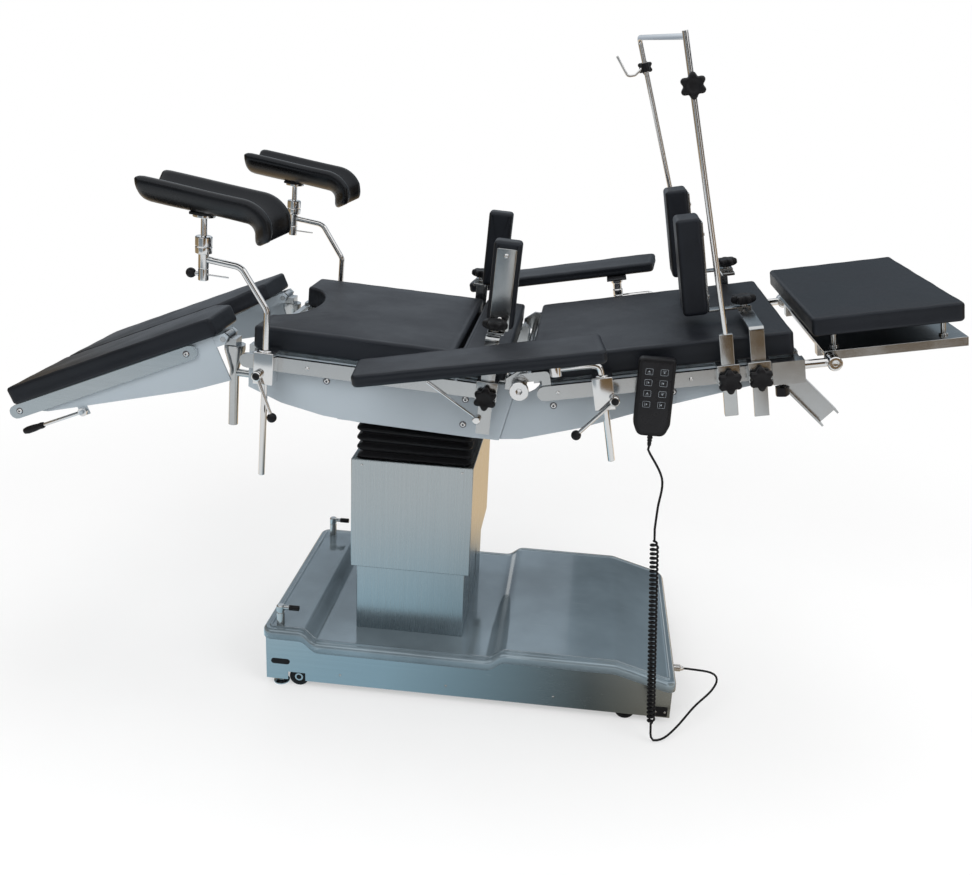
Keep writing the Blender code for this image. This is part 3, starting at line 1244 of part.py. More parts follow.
def head_section(back):
    """The two rods with their cross shaft, the tray that tilts on it, and the head cushion."""
    rod_y = (RAIL_IN + RAIL_OUT) / 2
    bodies = [rod((HEAD_PIVOT_X, -rod_y, ROD_Z), (HEAD_PIVOT_X, rod_y, ROD_Z), HINGE_PIN_R)]
    for side in SIDES.values():
        bodies.append(rod((ROD_LEFT, side * rod_y, ROD_Z), (HEAD_PIVOT_X, side * rod_y, ROD_Z), ROD_R))
        bodies.append(rod((HEAD_PIVOT_X, side * HEAD_KNOB_IN, ROD_Z), (HEAD_PIVOT_X, side * HEAD_KNOB_OUT, ROD_Z),
                          HEAD_KNOB_R))
    node("head_slide", fuse(bodies), back, (HEAD_PIVOT_X, 0, ROD_Z), chrome())

    outer = block((TRAY_LEFT, TRAY_RIGHT), (-TRAY_HALF, TRAY_HALF), (TRAY_TOP - TRAY_FLANGE, TRAY_TOP))
    inner = block((TRAY_LEFT - OVERRUN, TRAY_RIGHT - TRAY_SHEET),
                  (-TRAY_HALF + TRAY_SHEET, TRAY_HALF - TRAY_SHEET),
                  (TRAY_TOP - TRAY_FLANGE - OVERRUN, TRAY_TOP - TRAY_SHEET))
    lugs = [
        block((HEAD_PIVOT_X - LUG_HALF, HEAD_PIVOT_X + LUG_HALF), span(side, LUG_Y - LUG_HALF, LUG_Y + LUG_HALF),
              (ROD_Z - LUG_HALF, TRAY_TOP - GAP * 2))
        for side in SIDES.values()
    ]
    pad_bottom = HEAD_PAD_TOP - HEAD_PAD_THICK
    posts = [
        rod((x, side * HEAD_POST_Y, TRAY_TOP - GAP * 2), (x, side * HEAD_POST_Y, pad_bottom - GAP), HEAD_POST_R,
            sides=12)
        for x in HEAD_POST_X for side in SIDES.values()
    ]
    shaft = rod((HEAD_PIVOT_X, -PAD_HALF, ROD_Z), (HEAD_PIVOT_X, PAD_HALF, ROD_Z), HINGE_PIN_R + GAP)
    tray = fuse([outer], [inner])
    node("head_tray", fuse([tray, *lugs, *posts], [shaft]), back, (HEAD_PIVOT_X, 0, ROD_Z), steel())

    outline = [(HEAD_PAD_LEFT, -PAD_HALF), (HEAD_PAD_RIGHT, -PAD_HALF), (HEAD_PAD_RIGHT, PAD_HALF),
               (HEAD_PAD_LEFT, PAD_HALF)]
    node("head_pad", fuse([cushion(outline, pad_bottom, HEAD_PAD_TOP)]), back,
         (HEAD_PIVOT_X, 0, pad_bottom), leather())


def clamp_body(x, half, side, outer, low, high):
    """A clamp's body: a block on the rail's outside that hooks over the top, with a lip behind."""
    near, far = RAIL_OUT + GAP, RAIL_IN - GAP
    back = RAIL_IN - HOOK_THICK
    outline = [(near, low), (outer, low), (outer, high), (back, high), (back, -HOOK_LIP),
               (far, -HOOK_LIP), (far, GAP), (near, GAP)]
    return prism([(side * y, z) for y, z in outline], "X", (x - half, x + half))


def post_clamp(frame, name, x, side, radius, ball_at, lever_end):
    """A rail clamp with an upright bore, a collar with its knob, and a lever that ends in a ball."""
    body = clamp_body(x, CLAMP_HALF, side, CLAMP_FRONT, CLAMP_LOW, CLAMP_TOP)
    y = side * LINE_Y
    bore = rod((x, y, CLAMP_LOW - OVERRUN), (x, y, CLAMP_TOP + OVERRUN), radius + GAP)
    knob_x, knob_z = x + ball_at[0], ball_at[1]
    far = side * (CLAMP_FRONT + COLLAR)
    collar = rod((knob_x, side * (CLAMP_FRONT - BITE), knob_z), (knob_x, far, knob_z), COLLAR_R)
    lever_y = side * (CLAMP_FRONT + COLLAR / 2)
    end = (x + lever_end[0], lever_y, lever_end[1])
    lever = rod((knob_x, lever_y, knob_z), end, LEVER_R, sides=8)
    bodies = [body, collar, lever, ball(end, ARM_BALL_R)]
    node(name, fuse(bodies, [bore]), frame, (x, y, 0), chrome())


def arm_outline(side, shift):
    """An arm board's outline, a little narrower towards its free end."""
    points = [
        (ARM_LEFT + shift, side * (ARM_OUT - ARM_TAPER)),
        (ARM_RIGHT + shift, side * ARM_OUT),
        (ARM_RIGHT + shift - ARM_TAPER, side * ARM_IN),
        (ARM_LEFT + shift - ARM_TAPER, side * ARM_IN),
    ]
    return points if side < 0 else points[::-1]


def arm_board(back, name, side):
    """An arm board's cushion, the bent post that it swings on and the rail clamp."""
    bottom = ARM_TOP - ARM_THICK
    shift = ARM_REAR_SHIFT if side > 0 else 0
    x, head_x = ARM_X + shift, ARM_HEAD_X + shift
    node(f"arm_pad_{name}", fuse([cushion(arm_outline(side, shift), bottom, ARM_TOP)]), back,
         (x, side * LINE_Y, bottom), leather())

    y = side * LINE_Y
    route = bend([(x, y, ARM_POST_LOW), (x, y, ARM_BEND_Z), (head_x, y, ARM_BEND_Z)], ARM_BEND_R)
    bar = tube(route, ARM_POST_R, sides=10)
    top = bottom - GAP
    head = rod((head_x, y, ARM_HEAD_LOW), (head_x, y, top - ARM_PLATE / 2), ARM_HEAD_R)
    wide = ARM_OUT - ARM_TAPER * 2
    plate = block((head_x - ARM_HEAD_R * 2, head_x + ARM_HEAD_R * 2),
                  span(side, LINE_Y - ARM_HEAD_R, wide), (top - ARM_PLATE, top))
    node(f"arm_post_{name}", fuse([bar, head, plate]), back, (x, y, 0), chrome())

    post_clamp(back, f"arm_clamp_{name}", x, side, ARM_POST_R, (COLLAR_R * 2, ARM_LEVER_Z),
               (ARM_LEVER_END[0] + COLLAR_R * 2, ARM_LEVER_END[1]))


def gutter(side):
    """The padded trough: a thick arc swept along a straight run that turns down at the knee, with
    its last sections leaning less than the run turns, so that the trough ends on a slant."""
    y = side * LINE_Y
    stations = []
    start = Vector((GUTTER_LEFT, 0, 0))
    turn = GUTTER_DROOP
    run = (GUTTER_RIGHT - GUTTER_LEFT) / 3
    stations = [(start, turn)]
    for _ in range(3):
        start = start + Vector((math.cos(turn), 0, -math.sin(turn))) * run
        stations.append((start, turn))
    steps = 5
    step = GUTTER_KNEE_TURN / steps
    lean = (GUTTER_KNEE_TILT - GUTTER_DROOP) / (steps + 1)
    for i in range(steps):
        chord = 2 * GUTTER_KNEE_R * math.sin(step / 2)
        start = start + Vector((math.cos(turn + step / 2), 0, -math.sin(turn + step / 2))) * chord
        turn = turn + step
        stations.append((start, GUTTER_DROOP + lean * (i + 1)))
    start = start + Vector((math.cos(turn), 0, -math.sin(turn))) * GUTTER_KNEE_END
    stations.append((start, GUTTER_KNEE_TILT))
    rings = []
    arcs = 8
    for centre, angle in stations:
        up = Vector((math.sin(angle), 0, math.cos(angle)))
        ring = []
        for radius, order in ((GUTTER_R + GUTTER_WALL, range(arcs + 1)), (GUTTER_R, range(arcs, -1, -1))):
            for i in order:
                around = -GUTTER_ARC + 2 * GUTTER_ARC * i / arcs
                across = Vector((0, math.sin(around) * radius, 0))
                ring.append(centre + across + up * (GUTTER_R + GUTTER_WALL - math.cos(around) * radius))
        rings.append(ring)
    stem_x = CRUTCH_END
    drop = (stem_x + SWIVEL_DISC_R - GUTTER_LEFT) * math.tan(GUTTER_DROOP)
    lift = GUTTER_Z + GAP + drop
    moved = [[point + Vector((0, y, lift)) for point in ring] for ring in rings]
    return loft(moved)


def leg_crutch(seat, name, side):
    """A leg crutch: the padded trough, the bent pole with its swivel, and the rail clamp."""
    y = side * LINE_Y
    seat_disc = block((CRUTCH_END - SWIVEL_DISC_R, CRUTCH_END + SWIVEL_DISC_R),
                      (y - SWIVEL_DISC_R, y + SWIVEL_DISC_R), (GUTTER_Z, GUTTER_Z + GUTTER_WALL / 2))
    node(f"crutch_pad_{name}", fuse([gutter(side), seat_disc]), seat, (CRUTCH_END, y, GUTTER_Z), leather())

    corners = [(CRUTCH_X, y, CRUTCH_LOW), (CRUTCH_BEND[0], y, CRUTCH_BEND[1]),
               (CRUTCH_KNEE[0], y, CRUTCH_KNEE[1]), (CRUTCH_END, y, CRUTCH_TOP)]
    pole = tube(bend(corners, CRUTCH_BEND_R), CRUTCH_POLE_R, sides=10)
    swivel = lathe([(SWIVEL_R, SWIVEL_LOW), (SWIVEL_R, SWIVEL_MID), (SWIVEL_CUP_R, SWIVEL_MID + BITE),
                    (SWIVEL_CUP_R, SWIVEL_TOP), (SWIVEL_STEM_R, SWIVEL_TOP + BITE),
                    (SWIVEL_STEM_R, SWIVEL_STEM_TOP), (SWIVEL_DISC_R, SWIVEL_STEM_TOP + BITE),
                    (SWIVEL_DISC_R, SWIVEL_STEM_TOP + SWIVEL_DISC)], CRUTCH_END, y)
    stub = rod((CRUTCH_END, y, SWIVEL_BALL_Z), (SWIVEL_BALL_X, y, SWIVEL_BALL_Z), LEVER_R, sides=8)
    knob = ball((SWIVEL_BALL_X, y, SWIVEL_BALL_Z), SWIVEL_BALL_R)
    node(f"crutch_pole_{name}", fuse([pole, swivel, stub, knob]), seat, (CRUTCH_X, y, 0), chrome())

    post_clamp(seat, f"crutch_clamp_{name}", CRUTCH_X, side, CRUTCH_POLE_R, (CRUTCH_BALL_X / 3, CRUTCH_BALL_Z),
               CRUTCH_LEVER_END)


def jaw(x, side):
    """The rail clamp of a flat bar, with the star knob that tightens it."""
    body = clamp_body(x, JAW_HALF, side, JAW_OUT, JAW_LOW, JAW_TOP)
    stem_end = JAW_OUT + STAR_STEM
    stem = rod((x, side * (JAW_OUT - BITE), STAR_DROP), (x, side * (stem_end + BITE), STAR_DROP), STAR_STEM_R)
    knob = prism(star((x, STAR_DROP), STAR_R), "Y", span(side, stem_end, stem_end + STAR_THICK))
    return [body, stem, knob]


def bracket(x, side, bar_z, reach, slot_from, slot_to):
    """A flat bar up the rail's outside, bent inwards over the cushion, with a slot for the knob."""
    upright = block((x - FLAT_HALF, x + FLAT_HALF), span(side, RAIL_OUT + GAP * 2, RAIL_OUT + GAP + FLAT_THICK),
                    (FLAT_LOW, bar_z))
    arm = block((x - FLAT_HALF, x + FLAT_HALF), span(side, reach, RAIL_OUT + GAP + FLAT_THICK),
                (bar_z - FLAT_THICK, bar_z))
    slot = block((x - SLOT_HALF, x + SLOT_HALF), span(side, slot_from, slot_to),
                 (bar_z - FLAT_THICK - OVERRUN, bar_z + OVERRUN))
    return [upright, arm], [slot]


def top_star(x, y, bar_z):
    """The star knob above a slotted bar, its stud through the slot and the washer below."""
    low = bar_z - FLAT_THICK - GAP
    stud = rod((x, y, low - FOOT_THICK), (x, y, bar_z + FOOT_THICK + TOP_STAR_STEM + BITE), STUD_R, sides=10)
    washer = rod((x, y, low - FOOT_THICK), (x, y, low), SLOT_HALF * 2, sides=12)
    knob_low = bar_z + GAP + FOOT_THICK + TOP_STAR_STEM
    stem = rod((x, y, bar_z + GAP + FOOT_THICK / 2), (x, y, knob_low + BITE), STAR_STEM_R)
    knob = prism(star((x, y), TOP_STAR_R), "Z", (knob_low, knob_low + TOP_STAR))
    return [stud, washer, stem, knob]


def hip_support(seat, name, side):
    """A hip support: the clamped bracket, and the pad with its plate, foot and star knob."""
    x = HIP_X[name]
    bodies, cuts = bracket(x, side, HIP_BAR_Z, HIP_KNOB_Y - SLOT_REACH - FLAT_HALF,
                           HIP_KNOB_Y - SLOT_REACH, RAIL_OUT - FLAT_THICK)
    bodies += jaw(x, side)
    if name == "front":
        y = side * (RAIL_OUT + GAP + FLAT_THICK / 2)
        start = (x + STAY_START[0] - HIP_X["front"], y, STAY_START[1])
        end = (x + STAY_END[0] - HIP_X["front"], y, STAY_END[1])
        bodies.append(rod(start, end, STAY_R, sides=8))
        bodies.append(rod((start[0], side * RAIL_OUT, start[2]),
                          (start[0], side * (JAW_OUT + BITE), start[2]), STAY_EYE_R))
    node(f"hip_bracket_{name}", fuse(bodies, cuts), seat, (x, side * RAIL_OUT, 0), steel())

    pad_x = x + HIP_PAD_SHIFT[name]
    foot_low = HIP_BAR_Z + GAP
    foot = block((min(x, pad_x) - FLAT_HALF, max(x, pad_x) + FLAT_HALF),
                 span(side, HIP_PAD_IN + HIP_PAD_THICK / 2, HIP_KNOB_Y + FLAT_HALF),
                 (foot_low, foot_low + FOOT_THICK))
    plate_y = HIP_PAD_IN + HIP_PAD_THICK
    plate = block((pad_x - PLATE_HALF, pad_x + PLATE_HALF), span(side, plate_y - BITE, plate_y + FOOT_THICK),
                  (foot_low, foot_low + SUPPORT_HIGH - PLATE_DROP))
    pad = block((pad_x - HIP_PAD_HALF, pad_x + HIP_PAD_HALF), span(side, HIP_PAD_IN, plate_y),
                (foot_low + FOOT_THICK / 2, foot_low + SUPPORT_HIGH))
    pad_mesh = rounded_pad(pad)
    knob = top_star(x, side * HIP_KNOB_Y, HIP_BAR_Z)
    node(f"hip_pad_{name}", fuse([pad_mesh, foot, plate, *knob]), seat,
         (x, side * HIP_KNOB_Y, HIP_BAR_Z), leather())


def rounded_pad(piece):
    """A small upright pad with its edges rounded."""
    bm = bmesh.new()
    bm.from_mesh(piece.data)
    bmesh.ops.bevel(bm, geom=bm.edges, offset=PAD_EDGE, segments=2, affect="EDGES", profile=0.5)
    bpy.data.objects.remove(piece)
    return blank(bm)


def shoulder_support(back, name, side):
    """A shoulder support: the clamped bracket, and the pad on its foot with the star knob."""
    x = SHOULDER_X
    bar_z = SHOULDER_BAR_Z[name]
    knob_y = SHOULDER_KNOB_Y[name]
    bodies, cuts = bracket(x, side, bar_z, knob_y - SLOT_REACH - FLAT_HALF, knob_y - SLOT_REACH,
                           knob_y + SLOT_REACH)
    bodies += jaw(x, side)
    node(f"shoulder_bracket_{name}", fuse(bodies, cuts), back, (x, side * RAIL_OUT, 0), steel())

    low = bar_z + GAP
    right = SHOULDER_PAD_RIGHT
    foot = block((right - SHOULDER_PAD_THICK / 2, x + FLAT_HALF),
                 span(side, knob_y - FLAT_HALF, knob_y + FLAT_HALF), (low, low + FOOT_THICK))
    plate = block((right - BITE, right + FOOT_THICK), span(side, knob_y - FLAT_HALF, knob_y + FLAT_HALF),
                  (low, low + SHOULDER_HIGH - PLATE_DROP))
    pad = block((right - SHOULDER_PAD_THICK, right),
                span(side, knob_y - SHOULDER_PAD_HALF, knob_y + SHOULDER_PAD_HALF),
                (low + FOOT_THICK / 2, low + SHOULDER_HIGH))
    knob = top_star(x, side * knob_y, bar_z)
    node(f"shoulder_pad_{name}", fuse([rounded_pad(pad), foot, plate, *knob]), back,
         (x, side * knob_y, bar_z), leather())


def screen(back):
    """The anaesthesia screen: a bent frame over two clamped flats, a height knob and a hook."""
    line = RAIL_OUT + GAP + SCREEN_FLAT_THICK / 2
    start = SCREEN_FLAT_TOP - BITE * 5
    route = [(SCREEN_X, -line, start), (SCREEN_X + SCREEN_LEAN, -line, SCREEN_TOP),
             (SCREEN_REAR_X + SCREEN_REAR_LEAN, line, SCREEN_REAR_TOP), (SCREEN_REAR_X, line, start)]
    bodies = [tube(bend(route, SCREEN_BEND_R), SCREEN_R)]
    for side, x in zip(SIDES.values(), (SCREEN_X, SCREEN_REAR_X)):
        bodies.append(block((x - SCREEN_FLAT_HALF, x + SCREEN_FLAT_HALF),
                            span(side, RAIL_OUT + GAP * 2, RAIL_OUT + GAP + SCREEN_FLAT_THICK),
                            (SCREEN_FLAT_LOW, SCREEN_FLAT_TOP)))
        bodies += jaw(x, side)

    knob_x = SCREEN_X + SCREEN_LEAN * (SCREEN_KNOB_Z - start) / (SCREEN_TOP - start)
    half = SCREEN_COLLAR / 2
    collar = rod((knob_x, -line, SCREEN_KNOB_Z - half), (knob_x, -line, SCREEN_KNOB_Z + half),
                 SCREEN_COLLAR_R)
    near = -line - SCREEN_COLLAR_R
    knob = prism(star((knob_x, SCREEN_KNOB_Z), SCREEN_KNOB_R, 6), "Y", (near + BITE, near - SCREEN_KNOB))
    bodies += [collar, knob]
    node("screen_frame", fuse(bodies), back, (SCREEN_X, 0, 0), chrome())

    def pole_x(z):
        return SCREEN_REAR_X + SCREEN_REAR_LEAN * (z - start) / (SCREEN_REAR_TOP - start)

    hook_x = pole_x(HOOK_Z)
    high = HOOK_Z + HOOK_COLLAR_HIGH / 2
    low = HOOK_Z - HOOK_COLLAR_HIGH / 2
    collar = rod((pole_x(low), line, low), (pole_x(high), line, high), SCREEN_COLLAR_R)
    out = line + SCREEN_COLLAR_R
    knob = prism(star((hook_x, HOOK_Z), HOOK_KNOB_R, 6), "Y", (out - BITE, out + HOOK_KNOB))
    bows = [(hook_x - HOOK_REACH * share, line, HOOK_Z - HOOK_DIP) for share in HOOK_BOW_SHARES]
    wire = bend([(hook_x - SCREEN_COLLAR_R / 1.5, line, HOOK_Z), *bows,
                 (hook_x - HOOK_REACH, line, HOOK_Z + HOOK_RISE)], HOOK_WIRE_R * 2, 3)
    reach = HOOK_COLLAR_HIGH
    bore = rod((pole_x(HOOK_Z - reach), line, HOOK_Z - reach), (pole_x(HOOK_Z + reach), line, HOOK_Z + reach),
               SCREEN_R + GAP, sides=10)
    node("screen_hook", fuse([collar, knob, tube(wire, HOOK_WIRE_R, 8)], [bore]), back, (hook_x, line, HOOK_Z),
         black())


def hand_frame_places():
    """Where the hand control hangs, above the floor: its rail place and its strain relief's end."""
    x = WAIST_X + HAND_X * math.cos(BACK_TILT)
    z = WAIST_Z - HAND_X * math.sin(BACK_TILT)
    return x, z


def hand_control(root):
    """The hand control on its hook, hanging plumb, with the strain relief below it."""
    x, z = hand_frame_places()
    plumb = frame_at("hand_control_frame", root, x, z, 0)
    near = RAIL_OUT + GAP
    low = HAND_LOW + HAND_CHIN
    outline = [(-HAND_HALF, low), (-HAND_HALF + HAND_CHIN / 3, HAND_LOW + HAND_CHIN / 3),
               (-HAND_HALF + HAND_CHIN, HAND_LOW), (HAND_HALF - HAND_CHIN, HAND_LOW),
               (HAND_HALF - HAND_CHIN / 3, HAND_LOW + HAND_CHIN / 3), (HAND_HALF, low),
               (HAND_HALF, HAND_TOP - HAND_ROUND), (HAND_HALF - HAND_ROUND, HAND_TOP),
               (-HAND_HALF + HAND_ROUND, HAND_TOP), (-HAND_HALF, HAND_TOP - HAND_ROUND)]
    body = prism(outline, "Y", (-near, -near - HAND_THICK))
    middle = -near - HAND_THICK / 2
    relief = rod((0, middle, HAND_LOW + BITE), (0, middle, HAND_LOW - RELIEF_LONG), RELIEF_R, RELIEF_TIP, 12)
    slope = -math.tan(BACK_TILT) * HAND_HOOK_HALF
    rise = GAP * 2 + slope
    top = block((-HAND_HOOK_HALF, HAND_HOOK_HALF), (-near - BITE, -RAIL_IN + HOOK_THICK),
                (rise, rise + HOOK_THICK / 2))
    lip = block((-HAND_HOOK_HALF, HAND_HOOK_HALF), (-RAIL_IN + GAP, -RAIL_IN + HOOK_THICK),
                (-HOOK_LIP, rise + HOOK_THICK / 2))
    node("hand_control", fuse([body, relief, top, lip]), plumb, (0, middle, 0), black())
    return Vector((x, middle, z + HAND_LOW - RELIEF_LONG))


def curve_tube(name, points, material, root, radius, sides_level):
    """A cord as a bevelled curve with filled caps, turned into a mesh."""
    data = bpy.data.curves.new(name, "CURVE")
    data.dimensions = "3D"
    data.bevel_depth = radius
    data.bevel_resolution = sides_level
    data.use_fill_caps = True
    line = data.splines.new("POLY")
    line.points.add(len(points) - 1)
    for point, place in zip(line.points, points):
        point.co = (*place, 1)
    piece = bpy.data.objects.new(name, data)
    bpy.context.scene.collection.objects.link(piece)
    data.materials.append(material)
    piece.parent = root
    return piece


def smooth_route(corners, count):
    """Points at even steps of a smooth curve through hand-chosen corners (Catmull-Rom)."""
    corners = [Vector(corner) for corner in corners]
    padded = [corners[0] * 2 - corners[1], *corners, corners[-1] * 2 - corners[-2]]
    fine = []
    for a, b, c, d in zip(padded, padded[1:], padded[2:], padded[3:]):
        for i in range(24):
            t = i / 24
            fine.append((b * 2 + (c - a) * t + (a * 2 - b * 5 + c * 4 - d) * t ** 2
                         + (b * 3 - a - c * 3 + d) * t ** 3) / 2)
    fine.append(corners[-1])
    lengths = [0]
    for a, b in zip(fine, fine[1:]):
        lengths.append(lengths[-1] + (b - a).length)
    route = []
    j = 0
    for i in range(count):
        target = lengths[-1] * i / (count - 1)
        while j < len(lengths) - 2 and lengths[j + 1] < target:
            j += 1
        share = (target - lengths[j]) / (lengths[j + 1] - lengths[j])
        route.append(fine[j].lerp(fine[j + 1], min(share, 1)))
    return route


def curl_points():
    """The curly cord's helix, with a straight run of one cord thickness at each end."""
    head, foot = Vector(CURL_HEAD), Vector(CURL_FOOT)
    along = (foot - head).normalized()
    across = along.orthogonal().normalized()
    third = along.cross(across)
    run = CORD_R * 2
    wound = (foot - head).length - run * 6
    turns = round(wound / CURL_PITCH)
    steps = turns * CURL_POINTS
    points = [head, head + along * run]
    for i in range(steps + 1):
        turn = 2 * math.pi * i / CURL_POINTS
        fade = min(1, i / CURL_POINTS, (steps - i) / CURL_POINTS)
        reach = CURL_R * fade
        centre = head + along * (run * 3 + wound * i / steps)
        points.append(centre + across * reach * math.cos(turn) + third * reach * math.sin(turn))
    points += [foot - along * run, foot]
    return points, turns


def least_gap(points, turns):
    """The smallest clear distance between the curly cord's neighbouring turns."""
    least = None
    per = CURL_POINTS
    for i in range(2 + per, len(points) - per * 2):
        for j in range(i + per - 2, min(i + per + 3, len(points) - 2)):
            gap = (points[i] - points[j]).length - CORD_R * 2
            least = gap if least is None else min(least, gap)
    print(f"curly cord: {turns} turns, least gap {least * 1000:.2f} mm")


def cord(root, relief_end):
    """The hand control's lead: a short straight lead, the curly part, and the tail to the plug."""
    top = relief_end - Vector((0, 0, GAP))
    head, foot = Vector(CURL_HEAD), Vector(CURL_FOOT)
    along = (foot - head).normalized()
    corners = [top, top - Vector((0, 0, CORD_STRAIGHT)), *LEAD_CORNERS, head - along * CORD_STRAIGHT,
               head - along * GAP]
    lead = smooth_route(corners, LEAD_POINTS)
    curve_tube("cord_lead", lead, black(), root, CORD_R, 2)

    points, turns = curl_points()
    least_gap(points, turns)
    curve_tube("cord_curl", points, black(), root, CORD_R, 1)

    plug_end = Vector((BASE_RIGHT + PLUG_LONG + GAP, PLUG_Y, PLUG_Z))
    corners = [foot + along * GAP, foot + along * CORD_STRAIGHT, *TAIL_CORNERS,
               plug_end + Vector((CORD_STRAIGHT, 0, 0)), plug_end]
    tail = smooth_route(corners, TAIL_POINTS)
    curve_tube("cord_tail", tail, black(), root, CORD_R, 2)


CORDS = ("cord_lead", "cord_curl", "cord_tail", "cord_plug")


def stand_on_origin(root):
    """Moves the table so that the middle of its outer box, without the cord, stands on the origin."""
    bpy.context.view_layer.update()
    xs, ys = [], []
    for piece in bpy.data.objects:
        if piece.type == "MESH" and piece.name not in CORDS:
            for vertex in piece.data.vertices:
                place = piece.matrix_world @ vertex.co
                xs.append(place.x)
                ys.append(place.y)
    root.location = (-(min(xs) + max(xs)) / 2, -(min(ys) + max(ys)) / 2, 0)
    bpy.context.view_layer.update()


def main():
    for piece in list(bpy.data.objects):
        bpy.data.objects.remove(piece)
    root = frame_at("floor_frame", None, 0, 0, 0)
    seat = frame_at("seat_section_frame", root, WAIST_X, WAIST_Z, SEAT_TILT)
    back = frame_at("back_section_frame", root, WAIST_X, WAIST_Z, BACK_TILT)
    leg = frame_at("leg_section_frame", seat, KNEE_X, KNEE_Z, LEG_TILT - SEAT_TILT)
    base(root)
    column(root, seat)
    seat_section(seat)
    back_section(back)
    head_section(back)
    for name, side in SIDES.items():
        leg_section(seat, leg, name, side)
        arm_board(back, name, side)
        leg_crutch(seat, name, side)
        hip_support(seat, name, side)
        shoulder_support(back, name, side)
    screen(back)
    relief_end = hand_control(root)
    cord(root, relief_end)
    stand_on_origin(root)


main()
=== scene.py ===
"""Electric operating table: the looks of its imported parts, laid out as a Blender add-on.

Run as a script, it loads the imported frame, registers its operators, calls them in order and leaves
the dressed table on a pale floor, with the camera where the photograph was taken from. Lengths are
metres. X runs from the leg plates to the head plate, Y away from the camera and Z up.
"""

import math

import bmesh
import bpy
import numpy as np
from mathutils import Matrix, Vector


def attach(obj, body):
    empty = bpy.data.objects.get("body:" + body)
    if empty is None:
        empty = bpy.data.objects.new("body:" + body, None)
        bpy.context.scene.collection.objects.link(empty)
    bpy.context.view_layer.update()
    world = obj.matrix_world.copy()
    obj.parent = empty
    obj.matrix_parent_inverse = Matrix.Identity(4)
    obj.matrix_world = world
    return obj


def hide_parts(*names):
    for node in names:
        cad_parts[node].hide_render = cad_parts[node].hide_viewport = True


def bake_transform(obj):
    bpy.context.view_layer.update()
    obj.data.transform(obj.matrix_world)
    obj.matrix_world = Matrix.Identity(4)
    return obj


bl_info = {
    "name": "Electric operating table",
    "version": (1, 0, 0),
    "blender": (4, 5, 0),
    "location": "3D View > Sidebar > Table",
    "description": "Dresses the packed operating table: cushions, metalwork, cords, finishes and studio",
    "category": "Object",
}

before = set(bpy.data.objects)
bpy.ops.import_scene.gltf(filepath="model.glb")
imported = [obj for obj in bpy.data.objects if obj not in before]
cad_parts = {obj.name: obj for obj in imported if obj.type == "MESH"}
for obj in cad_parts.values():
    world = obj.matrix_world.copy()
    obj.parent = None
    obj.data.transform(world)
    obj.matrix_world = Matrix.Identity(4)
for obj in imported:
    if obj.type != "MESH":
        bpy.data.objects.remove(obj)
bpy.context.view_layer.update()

SIDES = {"front": -1, "rear": 1}
TURN = 2 * math.pi
GAP = 0.0003


# Frames of the table's sections

class Section:
    """A section's own frame: an origin, and a tilt about the axis across the table."""

    def __init__(self, origin, tilt_degrees):
        tilt = math.radians(tilt_degrees)
        self.origin = np.array(origin, float)
        self.axes = np.array([[math.cos(tilt), 0, -math.sin(tilt)], [0, 1, 0],
                              [math.sin(tilt), 0, math.cos(tilt)]])

    def place(self, points):
        """Local points in the shared frame: the origin plus each number times its axis."""
        return self.origin + np.asarray(points, float) @ self.axes

    def local(self, points):
        """Points of the shared frame in this one: less the origin, measured along each axis."""
        return (np.asarray(points, float) - self.origin) @ self.axes.T


FLOOR = Section((-0.10326, 0, 0), 0)
SEAT = Section((0.12474, 0, 0.758), 3.3)
BACK = Section((0.12474, 0, 0.758), -10.7)
LEG = Section((-0.4953, 0, 0.80297), -22.5)
HAND = Section((0.38808, 0, 0.80776), 0)


# Surfaces worked out as whole arrays

def unit(vectors):
    """Vectors divided by their own lengths."""
    vectors = np.asarray(vectors, float)
    return vectors / np.maximum(np.linalg.norm(vectors, axis=-1, keepdims=True), 1e-12)


def soften(corners, radius, steps=5, closed=True):
    """A polyline with its corners rounded: each gives way to (1-t)^2 A + 2t(1-t) B + t^2 C, where B is
    the corner and A and C lie on its sides, the radius times the tangent of half the turn away."""
    points = np.asarray(corners, float)
    back, ahead = np.roll(points, 1, 0) - points, np.roll(points, -1, 0) - points
    long_back = np.linalg.norm(back, axis=1)
    long_ahead = np.linalg.norm(ahead, axis=1)
    cosine = np.clip((back * ahead).sum(1) / np.maximum(long_back * long_ahead, 1e-12), -1, 1)
    turn = math.pi - np.arccos(cosine)
    cut = np.minimum(np.asarray(radius) * np.tan(turn / 2), 0.48 * np.minimum(long_back, long_ahead))
    start = points + unit(back) * cut[:, None]
    end = points + unit(ahead) * cut[:, None]
    t = np.linspace(0, 1, steps + 1)[None, :, None]
    curve = (1 - t) ** 2 * start[:, None] + 2 * t * (1 - t) * points[:, None] + t ** 2 * end[:, None]
    if closed:
        line = curve.reshape(-1, points.shape[1])
        keep = np.linalg.norm(line - np.roll(line, 1, 0), axis=1) > 1e-6
        return line[keep]
    line = np.vstack([points[:1], curve[1:-1].reshape(-1, points.shape[1]), points[-1:]])
    keep = np.linalg.norm(np.diff(line, axis=0, prepend=line[:1] - 1), axis=1) > 1e-6
    return line[keep]


def run_of(line):
    """How far along a line each of its points is."""
    return np.concatenate([[0], np.cumsum(np.linalg.norm(np.diff(line, axis=0), axis=1))])


def length_of(line):
    """A line's length."""
    return float(run_of(line)[-1])


def at_runs(line, at):
    """The points of a line at given distances along it."""
    run = run_of(line)
    return np.stack([np.interp(at, run, line[:, k]) for k in range(line.shape[1])], -1)


def spread(outline, count):
    """A closed outline's points put at even steps of its length."""
    closed = np.vstack([outline, outline[:1]])
    return at_runs(closed, np.linspace(0, length_of(closed), count, endpoint=False))


